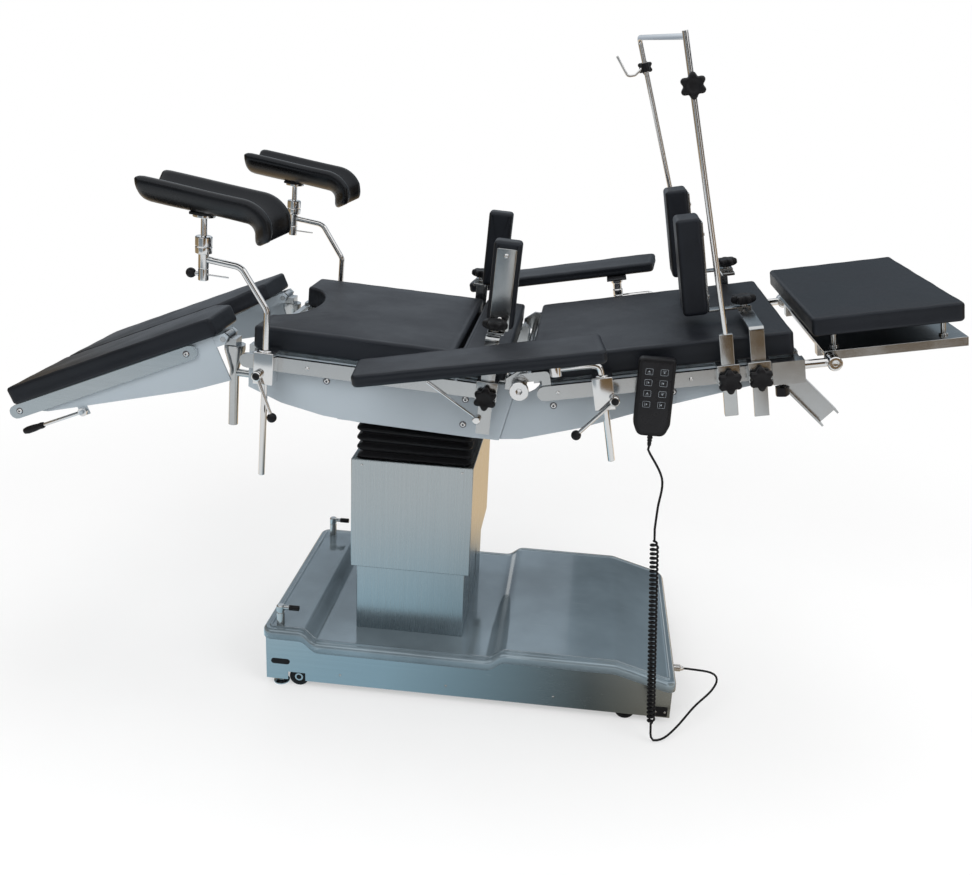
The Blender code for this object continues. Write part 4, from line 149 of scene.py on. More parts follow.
def shrink(outline, by):
    """A closed outline moved inwards: each point goes along the mean of its two sides' normals, by the
    distance divided by the cosine between that mean and a side's own normal."""
    ahead = unit(np.roll(outline, -1, 0) - outline)
    back = unit(outline - np.roll(outline, 1, 0))
    quarter = lambda v: np.stack([-v[:, 1], v[:, 0]], -1)
    mean = unit(quarter(ahead) + quarter(back))
    cosine = np.maximum((mean * quarter(ahead)).sum(1), 0.5)
    x, y = outline[:, 0], outline[:, 1]
    area = (x * np.roll(y, -1) - np.roll(x, -1) * y).sum()
    return outline + mean * (np.sign(area) * np.asarray(by) / cosine)[..., None]


def oblong(x0, x1, y0, y1):
    """A rectangle's corners."""
    return [(x0, y0), (x1, y0), (x1, y1), (x0, y1)]


def circle(radius, sides):
    """Points on a circle."""
    turn = np.linspace(0, TURN, sides, endpoint=False)
    return np.stack([np.cos(turn), np.sin(turn)], -1) * radius


def stadium(left, right, middle, radius):
    """A bar's side view: two half circles joined by straight edges."""
    turn = np.linspace(-math.pi / 2, math.pi / 2, 13)
    ends = np.stack([right + radius * np.cos(turn), middle + radius * np.sin(turn)], -1)
    others = np.stack([left - radius * np.cos(turn), middle - radius * np.sin(turn)], -1)
    return np.vstack([ends, others])


class Shell:
    """Gathers the closed surfaces of one piece, each with its finish, in one section's frame."""

    def __init__(self, section):
        self.section = section
        self.points, self.faces, self.finishes, self.names = [], [], [], []
        self.count = 0

    def add(self, points, faces, finish):
        """Puts points and faces, numbered from their own first point, into the piece."""
        if finish not in self.names:
            self.names.append(finish)
        self.points.append(self.section.place(points))
        self.faces.extend([[corner + self.count for corner in face] for face in faces])
        self.finishes.extend([self.names.index(finish)] * len(faces))
        self.count += len(points)

    def grid(self, rings, finish, through=False, caps=True):
        """Rings of points joined by four-sided faces: ring i to i + 1, point j to j + 1."""
        rings = np.asarray(rings, float)
        rows, columns = rings.shape[:2]
        i = np.arange(rows if through else rows - 1)[:, None]
        j = np.arange(columns)[None]
        below, right = (i + 1) % rows, (j + 1) % columns
        quads = np.stack([i * columns + j, i * columns + right, below * columns + right,
                          below * columns + j], -1).reshape(-1, 4).tolist()
        if caps and not through:
            quads.append(list(range(columns))[::-1])
            quads.append(list(range((rows - 1) * columns, rows * columns)))
        self.add(rings.reshape(-1, 3), quads, finish)

    def make(self, name, body, replaces=(), slot=None, sharp=38, outward=True):
        """One mesh object of all that was gathered, its normals outwards, riding on its body."""
        mesh = bpy.data.meshes.new(name)
        mesh.from_pydata(np.vstack(self.points).tolist(), [], self.faces)
        for finish in self.names:
            mesh.materials.append(material(finish))
        mesh.polygons.foreach_set("material_index", self.finishes)
        if outward:
            face_outwards(mesh)
        return finish_piece(name, mesh, body, replaces, sharp)


def face_outwards(mesh):
    """Turns each closed part of a mesh so that its faces point out."""
    bm = bmesh.new()
    bm.from_mesh(mesh)
    bmesh.ops.recalc_face_normals(bm, faces=bm.faces)
    bm.to_mesh(mesh)
    bm.free()


def placed(name, data):
    """An object of a mesh, curve, lamp or camera, in the scene."""
    made = bpy.data.objects.new(name, data)
    bpy.context.scene.collection.objects.link(made)
    return made


def hand_over(piece, body, replaces=()):
    """The piece rides on its body or, given two bodies and two points instead, keeps its place with its transform
    applied, and stands for its CAD nodes."""
    if isinstance(body, str):
        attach(piece, body)
    else:
        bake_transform(piece)
    if replaces:
        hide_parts(*replaces)
    return piece


def finish_piece(name, mesh, body, replaces=(), sharp=38):
    """A shaded object of a mesh, handed over."""
    mesh.shade_smooth()
    mesh.set_sharp_from_angle(angle=math.radians(sharp))
    return hand_over(placed(name, mesh), body, replaces)


def padded_piece(shell, name, body, replaces=()):
    """A stuffed piece of leather."""
    shell.make(name, body, replaces, "charcoal_leather", 60)


def walled(piece, thickness):
    """Gives a sheet its thickness, on its inner side."""
    wall = piece.modifiers.new("wall", "SOLIDIFY")
    wall.thickness = thickness
    wall.offset = -1


def swept(shell, path, section, normal, finish, scale=None):
    """A flat section carried along a path that lies in one plane: each point is the path's, plus the
    plane's normal times the section's first number, plus tangent x normal times its second."""
    path = np.asarray(path, float)
    tangent = unit(np.gradient(path, axis=0))
    normal = unit(normal)
    side = unit(np.cross(tangent, normal))
    size = np.ones(len(path)) if scale is None else np.asarray(scale)
    a = section[None, :, 0, None] * size[:, None, None]
    b = section[None, :, 1, None] * size[:, None, None]
    shell.grid(path[:, None] + normal * a + side[:, None] * b, finish)


def tube(shell, corners, radius, finish, bend=0.0, normal=(0, 1, 0), sides=24, edge=0.0012, tip=None):
    """A round bar through corners, rounded where it bends and at both ends: near an end the radius is
    r - e(1 - cos t) at e(1 - sin t) from it."""
    path = soften(corners, bend, 8, closed=False) if len(corners) > 2 else np.asarray(corners, float)
    edge = min(edge, radius * 0.9)
    t = np.linspace(math.pi / 2, 0, 5)
    along, less = edge * (1 - np.sin(t)), edge * (1 - np.cos(t))
    first, last = unit(path[1] - path[0]), unit(path[-1] - path[-2])
    start = path[0] + first * along[:, None]
    end = path[-1] - last * along[::-1, None]
    line = np.vstack([start, path[1:-1], end])
    run = run_of(line)
    tip = radius if tip is None else tip
    size = radius + (tip - radius) * run / run[-1]
    size[:5] -= less
    size[-5:] -= less[::-1]
    swept(shell, line, circle(1, sides), normal, finish, size)


def three_ways(axis):
    """The unit vector along an axis and two that are square to it and to each other."""
    axis = unit(axis)
    across = unit(np.cross(axis, np.eye(3)[np.argmin(np.abs(axis))]))
    return axis, across, np.cross(axis, across)


def rod(shell, start, end, radius, finish, sides=24, edge=0.0012, tip=None):
    """A straight round bar with rounded ends."""
    start, end = np.asarray(start, float), np.asarray(end, float)
    tube(shell, [start, end], radius, finish, 0, three_ways(end - start)[1], sides, edge, tip)


def turned(shell, origin, axis, profile, finish, sides=36, soft=0.0006):
    """A lathe's work: a profile of (distance along the axis, radius) turned about the axis."""
    axis, across, third = three_ways(axis)
    line = soften(profile, soft, 3, closed=False) if soft else np.asarray(profile, float)
    flat = circle(1, sides)
    ring = across * flat[:, :1] + third * flat[:, 1:]
    shell.grid(np.asarray(origin) + axis * line[:, :1, None] + ring[None] * line[:, 1:, None], finish)


AXES = {"X": (1, 2, 0), "Y": (0, 2, 1), "Z": (0, 1, 2)}


def lifted(outline, axis, depth):
    """A flat outline's points in space, at a depth along the axis that it is square to."""
    points = np.zeros((len(outline), 3))
    a, b, c = AXES[axis]
    points[:, a], points[:, b], points[:, c] = outline[:, 0], outline[:, 1], depth
    return points


def plate(shell, outline, axis, low, high, finish, edge=0.0008, corner=0.0):
    """A plate: an outline between two depths, its edges rounded by insets e(1 - cos t) at e(1 - sin t)."""
    line = soften(outline, corner, 4) if corner else np.asarray(outline, float)
    low, high = min(low, high), max(low, high)
    edge = min(edge, (high - low) * 0.45)
    t = np.linspace(math.pi / 2, 0, 4)
    inset, depth = edge * (1 - np.cos(t)), edge * (1 - np.sin(t))
    insets, depths = [*inset, *inset[::-1]], [*(low + depth), *(high - depth[::-1])]
    shell.grid([lifted(shrink(line, i), axis, d) for i, d in zip(insets, depths)], finish)


def block(shell, x, y, z, finish, edge=0.0008, corner=0.0015):
    """A bar or block between two X, two Y and two Z, with every edge rounded."""
    x, y, z = sorted(x), sorted(y), sorted(z)
    corner = min(corner, (x[1] - x[0]) * 0.4, (z[1] - z[0]) * 0.4)
    plate(shell, oblong(*x, *z), "Y", *y, finish, edge, corner)


def pierced(shell, outer, inner, axis, low, high, finish, edge=0.0005):
    """A plate with a hole: outer and inner outlines with as many points each, joined above and below."""
    bands = [(outer, edge, low), (outer, 0, low + edge), (outer, 0, high - edge), (outer, edge, high),
             (inner, -edge, high), (inner, 0, high - edge), (inner, 0, low + edge), (inner, -edge, low)]
    shell.grid([lifted(shrink(line, inset), axis, depth) for line, inset, depth in bands], finish,
               through=True)


def ball(shell, centre, radius, finish):
    """A ball: radius times (sin t cos a, sin t sin a, cos t)."""
    t = np.linspace(0.06, math.pi - 0.06, 18)[:, None, None]
    flat = circle(1, 28)[None]
    points = np.concatenate([flat * np.sin(t), np.broadcast_to(np.cos(t), (18, 28, 1))], -1)
    shell.grid(np.asarray(centre) + points * radius, finish)


STAR_HIGH = np.array([0, 0.05, 0.18, 0.34, 0.66, 0.82, 0.93, 1.0, 1.0, 0.94, 0.90])
STAR_WIDE = np.array([0.55, 0.72, 0.90, 1.0, 1.0, 0.97, 0.90, 0.78, 0.52, 0.42, 0.20])
STAR_LOBE = np.array([0.3, 0.7, 1, 1, 1, 1, 1, 0.8, 0.2, 0, 0])


def star_knob(shell, base, axis, radius, thick, finish, lobes=6):
    """A star knob: radius x width(height) x (1 - 0.26 x lobe(height) x ((1 - cos(lobes x turn)) / 2)^1.3)."""
    axis, across, third = three_ways(axis)
    turn = np.linspace(0, TURN, lobes * 12, endpoint=False)
    wave = (0.5 - 0.5 * np.cos(lobes * turn)) ** 1.3
    size = radius * STAR_WIDE[:, None] * (1 - 0.26 * STAR_LOBE[:, None] * wave)
    ring = across * np.cos(turn)[:, None] + third * np.sin(turn)[:, None]
    rise = axis * (STAR_HIGH * thick)[:, None, None]
    shell.grid(np.asarray(base) + rise + ring[None] * size[..., None], finish)


def screw(shell, centre, axis, radius, finish="chrome"):
    """A low domed screw with a driver's pit: a turned profile."""
    high = radius * 0.5
    turned(shell, centre, axis, [(-0.001, radius), (high * 0.4, radius), (high, radius * 0.72),
                                 (high, radius * 0.42), (high * 0.2, radius * 0.34),
                                 (high * 0.2, radius * 0.05)], finish, 24, radius * 0.06)


# Shader maths

class Value:
    """A number that a shader works out. Sums and products of it add Math nodes."""

    def __init__(self, nodes, socket):
        self.nodes, self.socket = nodes, socket

    def __add__(self, other):
        return self.nodes.node("ShaderNodeMath", {0: self, 1: other}, operation="ADD")

    def __mul__(self, other):
        return self.nodes.node("ShaderNodeMath", {0: self, 1: other}, operation="MULTIPLY")

    def __or__(self, other):
        """The larger of the two."""
        return self.nodes.node("ShaderNodeMath", {0: self, 1: other}, operation="MAXIMUM")


class Nodes:
    """A node tree as it is made: node() adds any node."""

    def __init__(self, tree):
        self.tree = tree

    def node(self, kind, inputs=None, output=0, stops=None, **settings):
        """A node with its settings made first, then its sockets set or linked; gives one output."""
        made = self.tree.nodes.new(kind)
        for key, value in settings.items():
            setattr(made, key, value)
        for i, (position, colour) in enumerate(stops or ()):
            elements = made.color_ramp.elements
            element = elements[i] if i < len(elements) else elements.new(position)
            element.position, element.color = position, (*colour, 1)
        for key, value in (inputs or {}).items():
            self.set(made.inputs[key], value)
        return Value(self, made.outputs[output])

    def set(self, socket, value):
        """Leads a value to a socket, or sets it there."""
        if isinstance(value, Value):
            self.tree.links.new(value.socket, socket)
        else:
            socket.default_value = value


class Finish(Nodes):
    """A material as it is made, with short ways to common nodes."""

    def __init__(self, name):
        self.made = bpy.data.materials.new(name)
        self.made.use_nodes = True
        super().__init__(self.made.node_tree)
        self.shader = self.tree.nodes["Principled BSDF"]
        self.place = self.node("ShaderNodeTexCoord", output="Object")

    def stretched(self, scale):
        """The place on the piece, stretched by a scale along each axis."""
        return self.node("ShaderNodeMapping", {"Vector": self.place, "Scale": scale})

    def noise(self, scale, detail=2.0, rough=0.5, place=None):
        """Soft noise from 0 to 1, so many features to the metre."""
        return self.node("ShaderNodeTexNoise", {"Vector": place or self.place, "Scale": scale,
                                                "Detail": detail, "Roughness": rough}, "Fac")

    def cells(self, scale):
        """Distances to the nearest of scattered points, as in leather's pebbles."""
        return self.node("ShaderNodeTexVoronoi", {"Vector": self.place, "Scale": scale}, "Distance")

    def between(self, value, low, high, to_low=0.0, to_high=1.0):
        """A value's range mapped smoothly onto another."""
        return self.node("ShaderNodeMapRange", {"Value": value, "From Min": low, "From Max": high,
                                                "To Min": to_low, "To Max": to_high}, "Result",
                         interpolation_type="SMOOTHSTEP")

    def mix(self, factor, one, other):
        """Two colours mixed by a factor."""
        colour = lambda c: c if isinstance(c, Value) else (*c, 1)
        return self.node("ShaderNodeMix", {0: factor, 6: colour(one), 7: colour(other)}, 2, data_type="RGBA")

    def bump(self, height, strength, distance=0.001):
        """A normal from a height."""
        return self.node("ShaderNodeBump", {"Height": height, "Strength": strength,
                                            "Distance": distance}, "Normal")

    def feed(self, **inputs):
        """Values and links for the surface shader; an underscore in a name stands for a space."""
        for key, value in inputs.items():
            self.set(self.shader.inputs[key.replace("_", " ")], value)
        return self.made

    def surface(self, shader):
        """Another shader in the surface shader's place."""
        output = [n for n in self.tree.nodes if n.type == "OUTPUT_MATERIAL"][0]
        self.set(output.inputs["Surface"], shader)
        return self.made


def shade(colour, by):
    """A colour made lighter or darker."""
    return tuple(min(1.0, c * by) for c in colour)


def leather(name, colour, gloss):
    """Coated leather: pebbles a millimetre across, finer pores, faint rub marks and dust."""
    f = Finish(name)
    pebbles = f.cells(780)
    pores = f.noise(2600, 3, 0.6)
    rub = f.noise(7, 4, 0.6)
    patches = f.noise(2.3, 2)
    tone = f.mix(f.between(rub + patches * 0.6, 0.55, 1.05), shade(colour, 0.82), shade(colour, 1.28))
    rough = f.between(rub, 0.3, 0.75, gloss - 0.05, gloss + 0.08) + pebbles * 0.06
    height = pebbles * 0.7 + pores * 0.3 + f.noise(38, 2) * 1.6
    return f.feed(Base_Color=tone, Roughness=rough, Specular_IOR_Level=0.35,
                  Specular_Tint=(0.84, 0.91, 1.0, 1), Normal=f.bump(height, 0.16, 0.0006))


def paint(name, colour, rough):
    """Stoved paint on sheet: a faint orange peel, slight shade drift and fine handling scuffs."""
    f = Finish(name)
    drift = f.noise(2.6, 3)
    scuffs = f.between(f.noise(1, 6, 0.7, f.stretched((30, 30, 160))), 0.60, 0.78)
    tone = f.mix(f.between(drift, 0.35, 0.7), shade(colour, 0.95), shade(colour, 1.04))
    tone = f.mix(scuffs * 0.22, tone, shade(colour, 0.74))
    spread_out = f.between(f.noise(12, 3), 0.3, 0.7, rough - 0.04, rough + 0.06) + scuffs * 0.08
    return f.feed(Base_Color=tone, Roughness=spread_out, Normal=f.bump(f.noise(520, 2), 0.05, 0.0004))


def brushed(name, colour, rough, grain):
    """Brushed sheet: long fine scratches along one axis, a mottled sheen and a few finger marks."""
    f = Finish(name)
    fine = f.noise(1, 5, 0.65, f.stretched(grain))
    coarse = f.noise(1, 3, 0.5, f.stretched(tuple(g * 0.22 for g in grain)))
    marks = f.between(f.noise(5, 5, 0.62), 0.55, 0.8)
    cast = f.between(f.noise(1.7, 2), 0.35, 0.65)
    tone = f.mix(f.between(fine * 0.6 + coarse * 0.4, 0.32, 0.68), shade(colour, 0.96), shade(colour, 1.04))
    tone = f.mix(cast * 0.35, tone, tuple(c * k for c, k in zip(colour, (0.90, 1.02, 1.10))))
    dull = f.between(fine, 0.3, 0.7, rough - 0.04, rough + 0.05) + marks * 0.05
    return f.feed(Base_Color=tone, Roughness=dull, Metallic=1.0, Normal=f.bump(fine, 0.008, 0.0002))


def plated(name, colour, rough):
    """Plated or polished steel: faint drawing marks, smears and dulled spots."""
    f = Finish(name)
    smears = f.noise(17, 4, 0.6)
    lines = f.noise(1, 4, 0.6, f.stretched((380, 380, 30)))
    tone = f.mix(f.between(smears, 0.35, 0.75), shade(colour, 0.93), shade(colour, 1.05))
    dull = f.between(smears, 0.35, 0.75, rough, rough + 0.08) + lines * 0.04
    return f.feed(Base_Color=tone, Roughness=dull, Metallic=1.0, Normal=f.bump(lines, 0.02, 0.0002))


def moulded(name, colour, rough, grain=1500, depth=0.10, lighter=1.0):
    """Moulded plastic or rubber: a fine spark-eroded grain, dust in patches and slight wear."""
    f = Finish(name)
    colour = shade(colour, lighter)
    dust = f.between(f.noise(26, 5, 0.65), 0.5, 0.82)
    tone = f.mix(dust * 0.5, colour, tuple(c * 1.5 + 0.003 for c in colour))
    dull = f.between(f.noise(60, 3), 0.3, 0.7, rough - 0.05, rough + 0.07) + dust * 0.06
    return f.feed(Base_Color=tone, Roughness=dull, Specular_IOR_Level=0.20,
                  Normal=f.bump(f.noise(grain, 3, 0.6), depth, 0.0004))


def lid_plastic(name, colour):
    """The base cover's glossy moulded plastic: smoky depth, hairline scratches and dust."""
    f = Finish(name)
    smoke = f.noise(3.4, 4, 0.55)
    hairs = f.between(f.noise(1, 6, 0.7, f.stretched((14, 220, 40))), 0.60, 0.74)
    dust = f.between(f.noise(900, 2), 0.68, 0.8)
    tone = f.mix(f.between(smoke, 0.3, 0.72), shade(colour, 0.78), shade(colour, 1.25))
    tone = f.mix(hairs * 0.2 + dust * 0.12, tone, (0.55, 0.62, 0.66))
    dull = f.between(smoke, 0.3, 0.7, 0.08, 0.15) + hairs * 0.08
    return f.feed(Base_Color=tone, Roughness=dull, Specular_IOR_Level=0.6, Coat_Weight=0.5,
                  Coat_Roughness=0.04, Metallic=0.45, Normal=f.bump(f.noise(70, 2), 0.02, 0.0005))


# Each finish: what makes it, the sidebar's colour, and the rest of what it takes
FINISHES = {
    "leather": (leather, "leather", 0.40),
    "gloss_leather": (leather, "trough", 0.26),
    "paint": (paint, "panel", 0.34),
    "steel_upright": (brushed, "sheet", 0.24, (900, 900, 7)),
    "steel_level": (brushed, "sheet", 0.22, (7, 900, 900)),
    "steel": (plated, "steel", 0.16),
    "chrome": (plated, "chrome", 0.07),
    "knob": (moulded, "knob", 0.38),
    "rubber": (moulded, "rubber", 0.58, 900, 0.16),
    "bellows": (moulded, "rubber", 0.46, 700, 0.14),
    "lid": (lid_plastic, "lid"),
    "iron": (moulded, "iron", 0.5, 500, 0.2),
    "membrane": (moulded, "knob", 0.30, 2200, 0.05, 1.5),
    "print": (moulded, "symbols", 0.5, 2200, 0.03),
}


def material(name):
    """A finish by name, made the first time that it is asked for."""
    make, colour, *rest = FINISHES[name]
    return bpy.data.materials.get(name) or make(
        name, tuple(getattr(bpy.context.scene.table_colours, colour)), *rest)


# CAD nodes with finer edges

def dressed(node, body, finish, edge=0.001, picks=()):
    """A copy of a CAD node: corners merged, flat triangles joined, edges rounded, finishes by place.
    picks are (finish, test), where test takes the faces' middles and says which it covers."""
    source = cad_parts[node].data
    points = np.zeros(len(source.vertices) * 3)
    source.vertices.foreach_get("co", points)
    corners = np.zeros(len(source.loops), int)
    source.loops.foreach_get("vertex_index", corners)
    mesh = bpy.data.meshes.new(f"{node}_shown")
    mesh.from_pydata(points.reshape(-1, 3).tolist(), [], corners.reshape(-1, 3).tolist())
    bm = bmesh.new()
    bm.from_mesh(mesh)
    bmesh.ops.remove_doubles(bm, verts=bm.verts, dist=2e-6)
    bmesh.ops.dissolve_limit(bm, angle_limit=math.radians(1.0), verts=bm.verts, edges=bm.edges)
    bm.to_mesh(mesh)
    bm.free()
    middles = np.zeros(len(mesh.polygons) * 3)
    mesh.polygons.foreach_get("center", middles)
    middles = middles.reshape(-1, 3)
    index = np.zeros(len(middles), int)
    mesh.materials.append(material(finish))
    for place, (other, test) in enumerate(picks, 1):
        mesh.materials.append(material(other))
        index[test(middles)] = place
    mesh.polygons.foreach_set("material_index", index)
    piece = finish_piece(f"{node}_shown", mesh, body, (node,), 35)
    rounding = piece.modifiers.new("rounded edges", "BEVEL")
    rounding.width = edge
    rounding.segments = 2
    rounding.limit_method = "ANGLE"
    rounding.angle_limit = math.radians(40)


def refinished(node, finish):
    """A CAD node that stays, with a better material in each of its slots."""
    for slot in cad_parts[node].material_slots:
        slot.material = material(finish)


# Cushions

PAD_BACK = 0.0055
PAD_FRONT = 0.0555
PAD_HALF = 0.250


def cushion(shell, outline, low, high, sizes, corner, edge=0.007, count=280):
    """A stuffed slab. Its rings are the outline, inset by e(1 - cos t) round the edges and by the
    waist's sine between corners. Over the top they are the outline scaled by s to its middle, and at a
    distance d from the edge they rise by crown x (1 - exp(-(d / 0.035)^2)), with a shallow dip where the
    cover is drawn in along the seam."""
    corners = np.asarray(outline, float)
    line = spread(soften(corners, corner, 6), count)
    nearest = np.min(np.linalg.norm(line[:, None] - corners[None], axis=2), axis=1)
    waist = sizes.waist * np.sin(np.clip(nearest / 0.11, 0, 1) * math.pi / 2)
    middle = line.mean(0)
    t = np.linspace(math.pi / 2, 0, 6)
    rings = []

    def ring(flat, height):
        ripple = 0.00035 * np.sin(41 * flat[:, 0] + 1.3) * np.sin(37 * flat[:, 1] + 0.4)
        ripple = ripple + 0.0002 * np.sin(97 * flat[:, 0] + 83 * flat[:, 1])
        return np.column_stack([flat, height + ripple * (height > low + edge)])

    inner = shrink(line, edge + waist)
    for s in (0.04, 0.5, 0.97):
        rings.append(ring(middle + (inner - middle) * s, np.full(count, low)))
    for a in t:
        rings.append(ring(shrink(line, edge * (1 - math.cos(a)) + waist * 0.3),
                          np.full(count, low + edge * (1 - math.sin(a)))))
    for share in (0.3, 0.5, 0.7):
        deep = waist * (0.3 + 0.7 * math.sin(share * math.pi))
        rings.append(ring(shrink(line, deep), np.full(count, low + edge + (high - low - 2 * edge) * share)))
    for a in t[::-1]:
        rings.append(ring(shrink(line, edge * (1 - math.cos(a)) + waist * 0.3),
                          np.full(count, high - edge * (1 - math.sin(a)))))
    top = shrink(line, edge + waist * 0.3)
    for s in (0.985, 0.97, 0.955, 0.93, 0.88, 0.8, 0.7, 0.58, 0.45, 0.32, 0.2, 0.1, 0.04):
        flat = middle + (top - middle) * s
        d = np.min(np.linalg.norm(flat[:, None] - top[None], axis=2), axis=1)
        dip = 0.0005 * math.exp(-((s - 0.965) / 0.012) ** 2)
        rings.append(ring(flat, high + sizes.crown * (1 - np.exp(-(d / 0.035) ** 2)) - dip))
    shell.grid(np.array(rings), "leather")


def seat_outline():
    """The seat cushion from above, with the round notch at its leg end."""
    turn = np.linspace(math.pi / 2, -math.pi / 2, 15)
    notch = np.stack([-0.551 + 0.070 * np.cos(turn), 0.140 * np.sin(turn)], -1)
    return np.vstack([[(-0.136, -PAD_HALF), (-0.136, PAD_HALF), (-0.551, PAD_HALF)], notch,
                      [(-0.551, -PAD_HALF)]])


def leg_outline(side):
    """A leg cushion from above, with its corner taken off beside the notch."""
    points = [(-0.492, 0.250), (-0.001, 0.250), (-0.007, 0.110), (-0.085, 0.004), (-0.492, 0.004)]
    return [(x, side * y) for x, y in points]


def arm_shift(side):
    """How far an arm board's place on the rail is from the front one's: the rear one is nearer the head."""
    return 0.133 if side > 0 else 0.0


def arm_outline(side):
    """An arm board from above, a little narrower and slanted towards its free end."""
    shift = arm_shift(side)
    return [(shift - 0.285, side * 0.448), (shift + 0.185, side * 0.462), (shift + 0.171, side * 0.326),
            (shift - 0.299, side * 0.326)]


def build_cushions(sizes):
    """The table's flat cushions: seat, kidney, back, head, two legs and two arm boards."""
    trim = sizes.crown
    flats = [
        ("seat_cushion", SEAT, "seat", "seat_pad", seat_outline(), PAD_BACK, PAD_FRONT - trim, 0.010),
        ("kidney_cushion", SEAT, "kidney", "kidney_pad", oblong(-0.128, -0.032, -0.25, 0.25), PAD_BACK,
         PAD_FRONT - trim, 0.006),
        ("back_cushion", BACK, "back", "back_pad", oblong(0.024, 0.5375, -0.25, 0.25), PAD_BACK,
         PAD_FRONT - trim, 0.009),
        ("head_cushion", BACK, "head", "head_pad", oblong(0.573, 0.852, -0.25, 0.25), 0.036,
         0.076 - trim, 0.009),
    ]
    for name, side in SIDES.items():
        flats.append((f"leg_cushion_{name}", LEG, f"leg_{name}", f"leg_pad_{name}", leg_outline(side),
                      0.0135, PAD_FRONT - trim, 0.009))
        flats.append((f"arm_cushion_{name}", BACK, f"arm_{name}", f"arm_pad_{name}", arm_outline(side),
                      0.087, 0.114 - trim, 0.016))
    for name, section, body, node, outline, low, high, corner in flats:
        shell = Shell(section)
        cushion(shell, outline, low, high, sizes, corner)
        padded_piece(shell, name, body, (node,))


# Padded troughs of the leg crutches

POST_Y = 0.2935
GUTTER_WALL = 0.024
GUTTER_R = 0.058
GUTTER_ARC = math.radians(66)
GUTTER_LEFT = -0.755
GUTTER_DROOP = math.radians(6)
GUTTER_EASE = 0.016


def trough_line():
    """Where the trough's lowest line runs: straight down a slight droop, tightly round the knee, and
    out to its end. The sections lean on from the droop to the end's tilt in even steps."""
    turn, tilt, radius, long, end = math.radians(82), math.radians(60), 0.018, 0.207, 0.026
    share = np.linspace(0, 1, 26)
    droop = GUTTER_DROOP
    straight = np.stack([GUTTER_LEFT + long * share * math.cos(droop), -long * share * math.sin(droop)], -1)
    round_it = np.linspace(0, 1, 15)[1:]
    angle = droop + turn * round_it
    centre = straight[-1] - radius * np.array([math.sin(droop), math.cos(droop)])
    knee = centre + radius * np.stack([np.sin(angle), np.cos(angle)], -1)
    on = np.linspace(0, 1, 7)[1:]
    tail = knee[-1] + end * on[:, None] * np.array([math.cos(angle[-1]), -math.sin(angle[-1])])
    lean = np.concatenate([np.full(26, droop), droop + (tilt - droop) * round_it * 5 / 6,
                           droop + (tilt - droop) * (5 + on) / 6])
    return np.vstack([straight, knee, tail]), lean


def build_troughs():
    """The troughs: a thick arc's rounded section carried along that line. The section is the middle
    radius plus the half wall times sin, over the arc, with round lips; near each end it thins by the
    square root of 1 - (1 - d/e)^2 to close the padding."""
    line, lean = trough_line()
    run = run_of(line)
    extra = np.array([0.0006, 0.002, 0.005, 0.009])
    at = np.unique(np.round(np.concatenate([run, extra, run[-1] - extra]), 6))
    line, lean = at_runs(line, at), np.interp(at, run, lean)
    near = np.minimum(at, at[-1] - at)
    size = np.sqrt(np.clip(1 - (1 - np.clip(near / GUTTER_EASE, 0, 1)) ** 2, 0.03, 1))
    lift = 0.2743 + GAP + (-0.640 + 0.022 - GUTTER_LEFT) * math.tan(GUTTER_DROOP)
    middle, half = GUTTER_R + GUTTER_WALL / 2, GUTTER_WALL / 2
    arc = GUTTER_ARC - half / middle
    across = np.linspace(-1, 1, 40)
    lip = np.linspace(0, math.pi, 12)[1:-1]
    around = np.concatenate([across * arc, arc + np.sin(lip) * half / middle, -across * arc,
                             -arc - np.sin(lip) * half / middle])
    out = np.concatenate([np.full(40, half), np.cos(lip) * half, np.full(40, -half), -np.cos(lip) * half])
    for name, side in SIDES.items():
        y = side * POST_Y
        angle = around[None] * (1 - 0.10 * (1 - size[:, None]))
        radius = middle + out[None] * size[:, None]
        puff = 0.0008 * np.sin(at * 31)[:, None] * np.cos(angle * 3)
        radius = radius + puff * size[:, None]
        rise = GUTTER_R + GUTTER_WALL - np.cos(angle) * radius
        x = line[:, :1] + np.sin(lean)[:, None] * rise
        z = line[:, 1:] + np.cos(lean)[:, None] * rise + lift
        shell = Shell(SEAT)
        shell.grid(np.stack([x, y + np.sin(angle) * radius, z], -1), "gloss_leather")
        padded_piece(shell, f"crutch_trough_{name}", f"crutch_pad_{name}", (f"crutch_pad_{name}",))
        seat = Shell(SEAT)
        block(seat, (-0.662, -0.618), (y - 0.022, y + 0.022), (0.2745, 0.2805), "knob", 0.0015, 0.006)
        seat.make(f"crutch_trough_board_{name}", f"crutch_pad_{name}")


# Cords

CORD_R = 0.0024
CURL_R = 0.0072
CURL_PITCH = 0.0098
CURL_HEAD = np.array([0.519, -0.300, 0.484]) + FLOOR.origin
CURL_FOOT = np.array([0.553, -0.312, 0.030]) + FLOOR.origin
LEAD_TOP = np.array([0.38808, -0.2853, 0.66546])
LEAD_CORNERS = np.array([(0.523, -0.292, 0.600), (0.520, -0.297, 0.540)]) + FLOOR.origin
TAIL_CORNERS = np.array([
    (0.560, -0.314, 0.006), (0.584, -0.305, 0.008), (0.612, -0.283, 0.024), (0.650, -0.243, 0.050),
    (0.690, -0.196, 0.062), (0.706, -0.160, 0.069), (0.694, -0.136, 0.070)]) + FLOOR.origin
PLUG_Y, PLUG_Z = -0.130, 0.070
PLUG_END = np.array([0.6343, PLUG_Y, PLUG_Z]) + FLOOR.origin


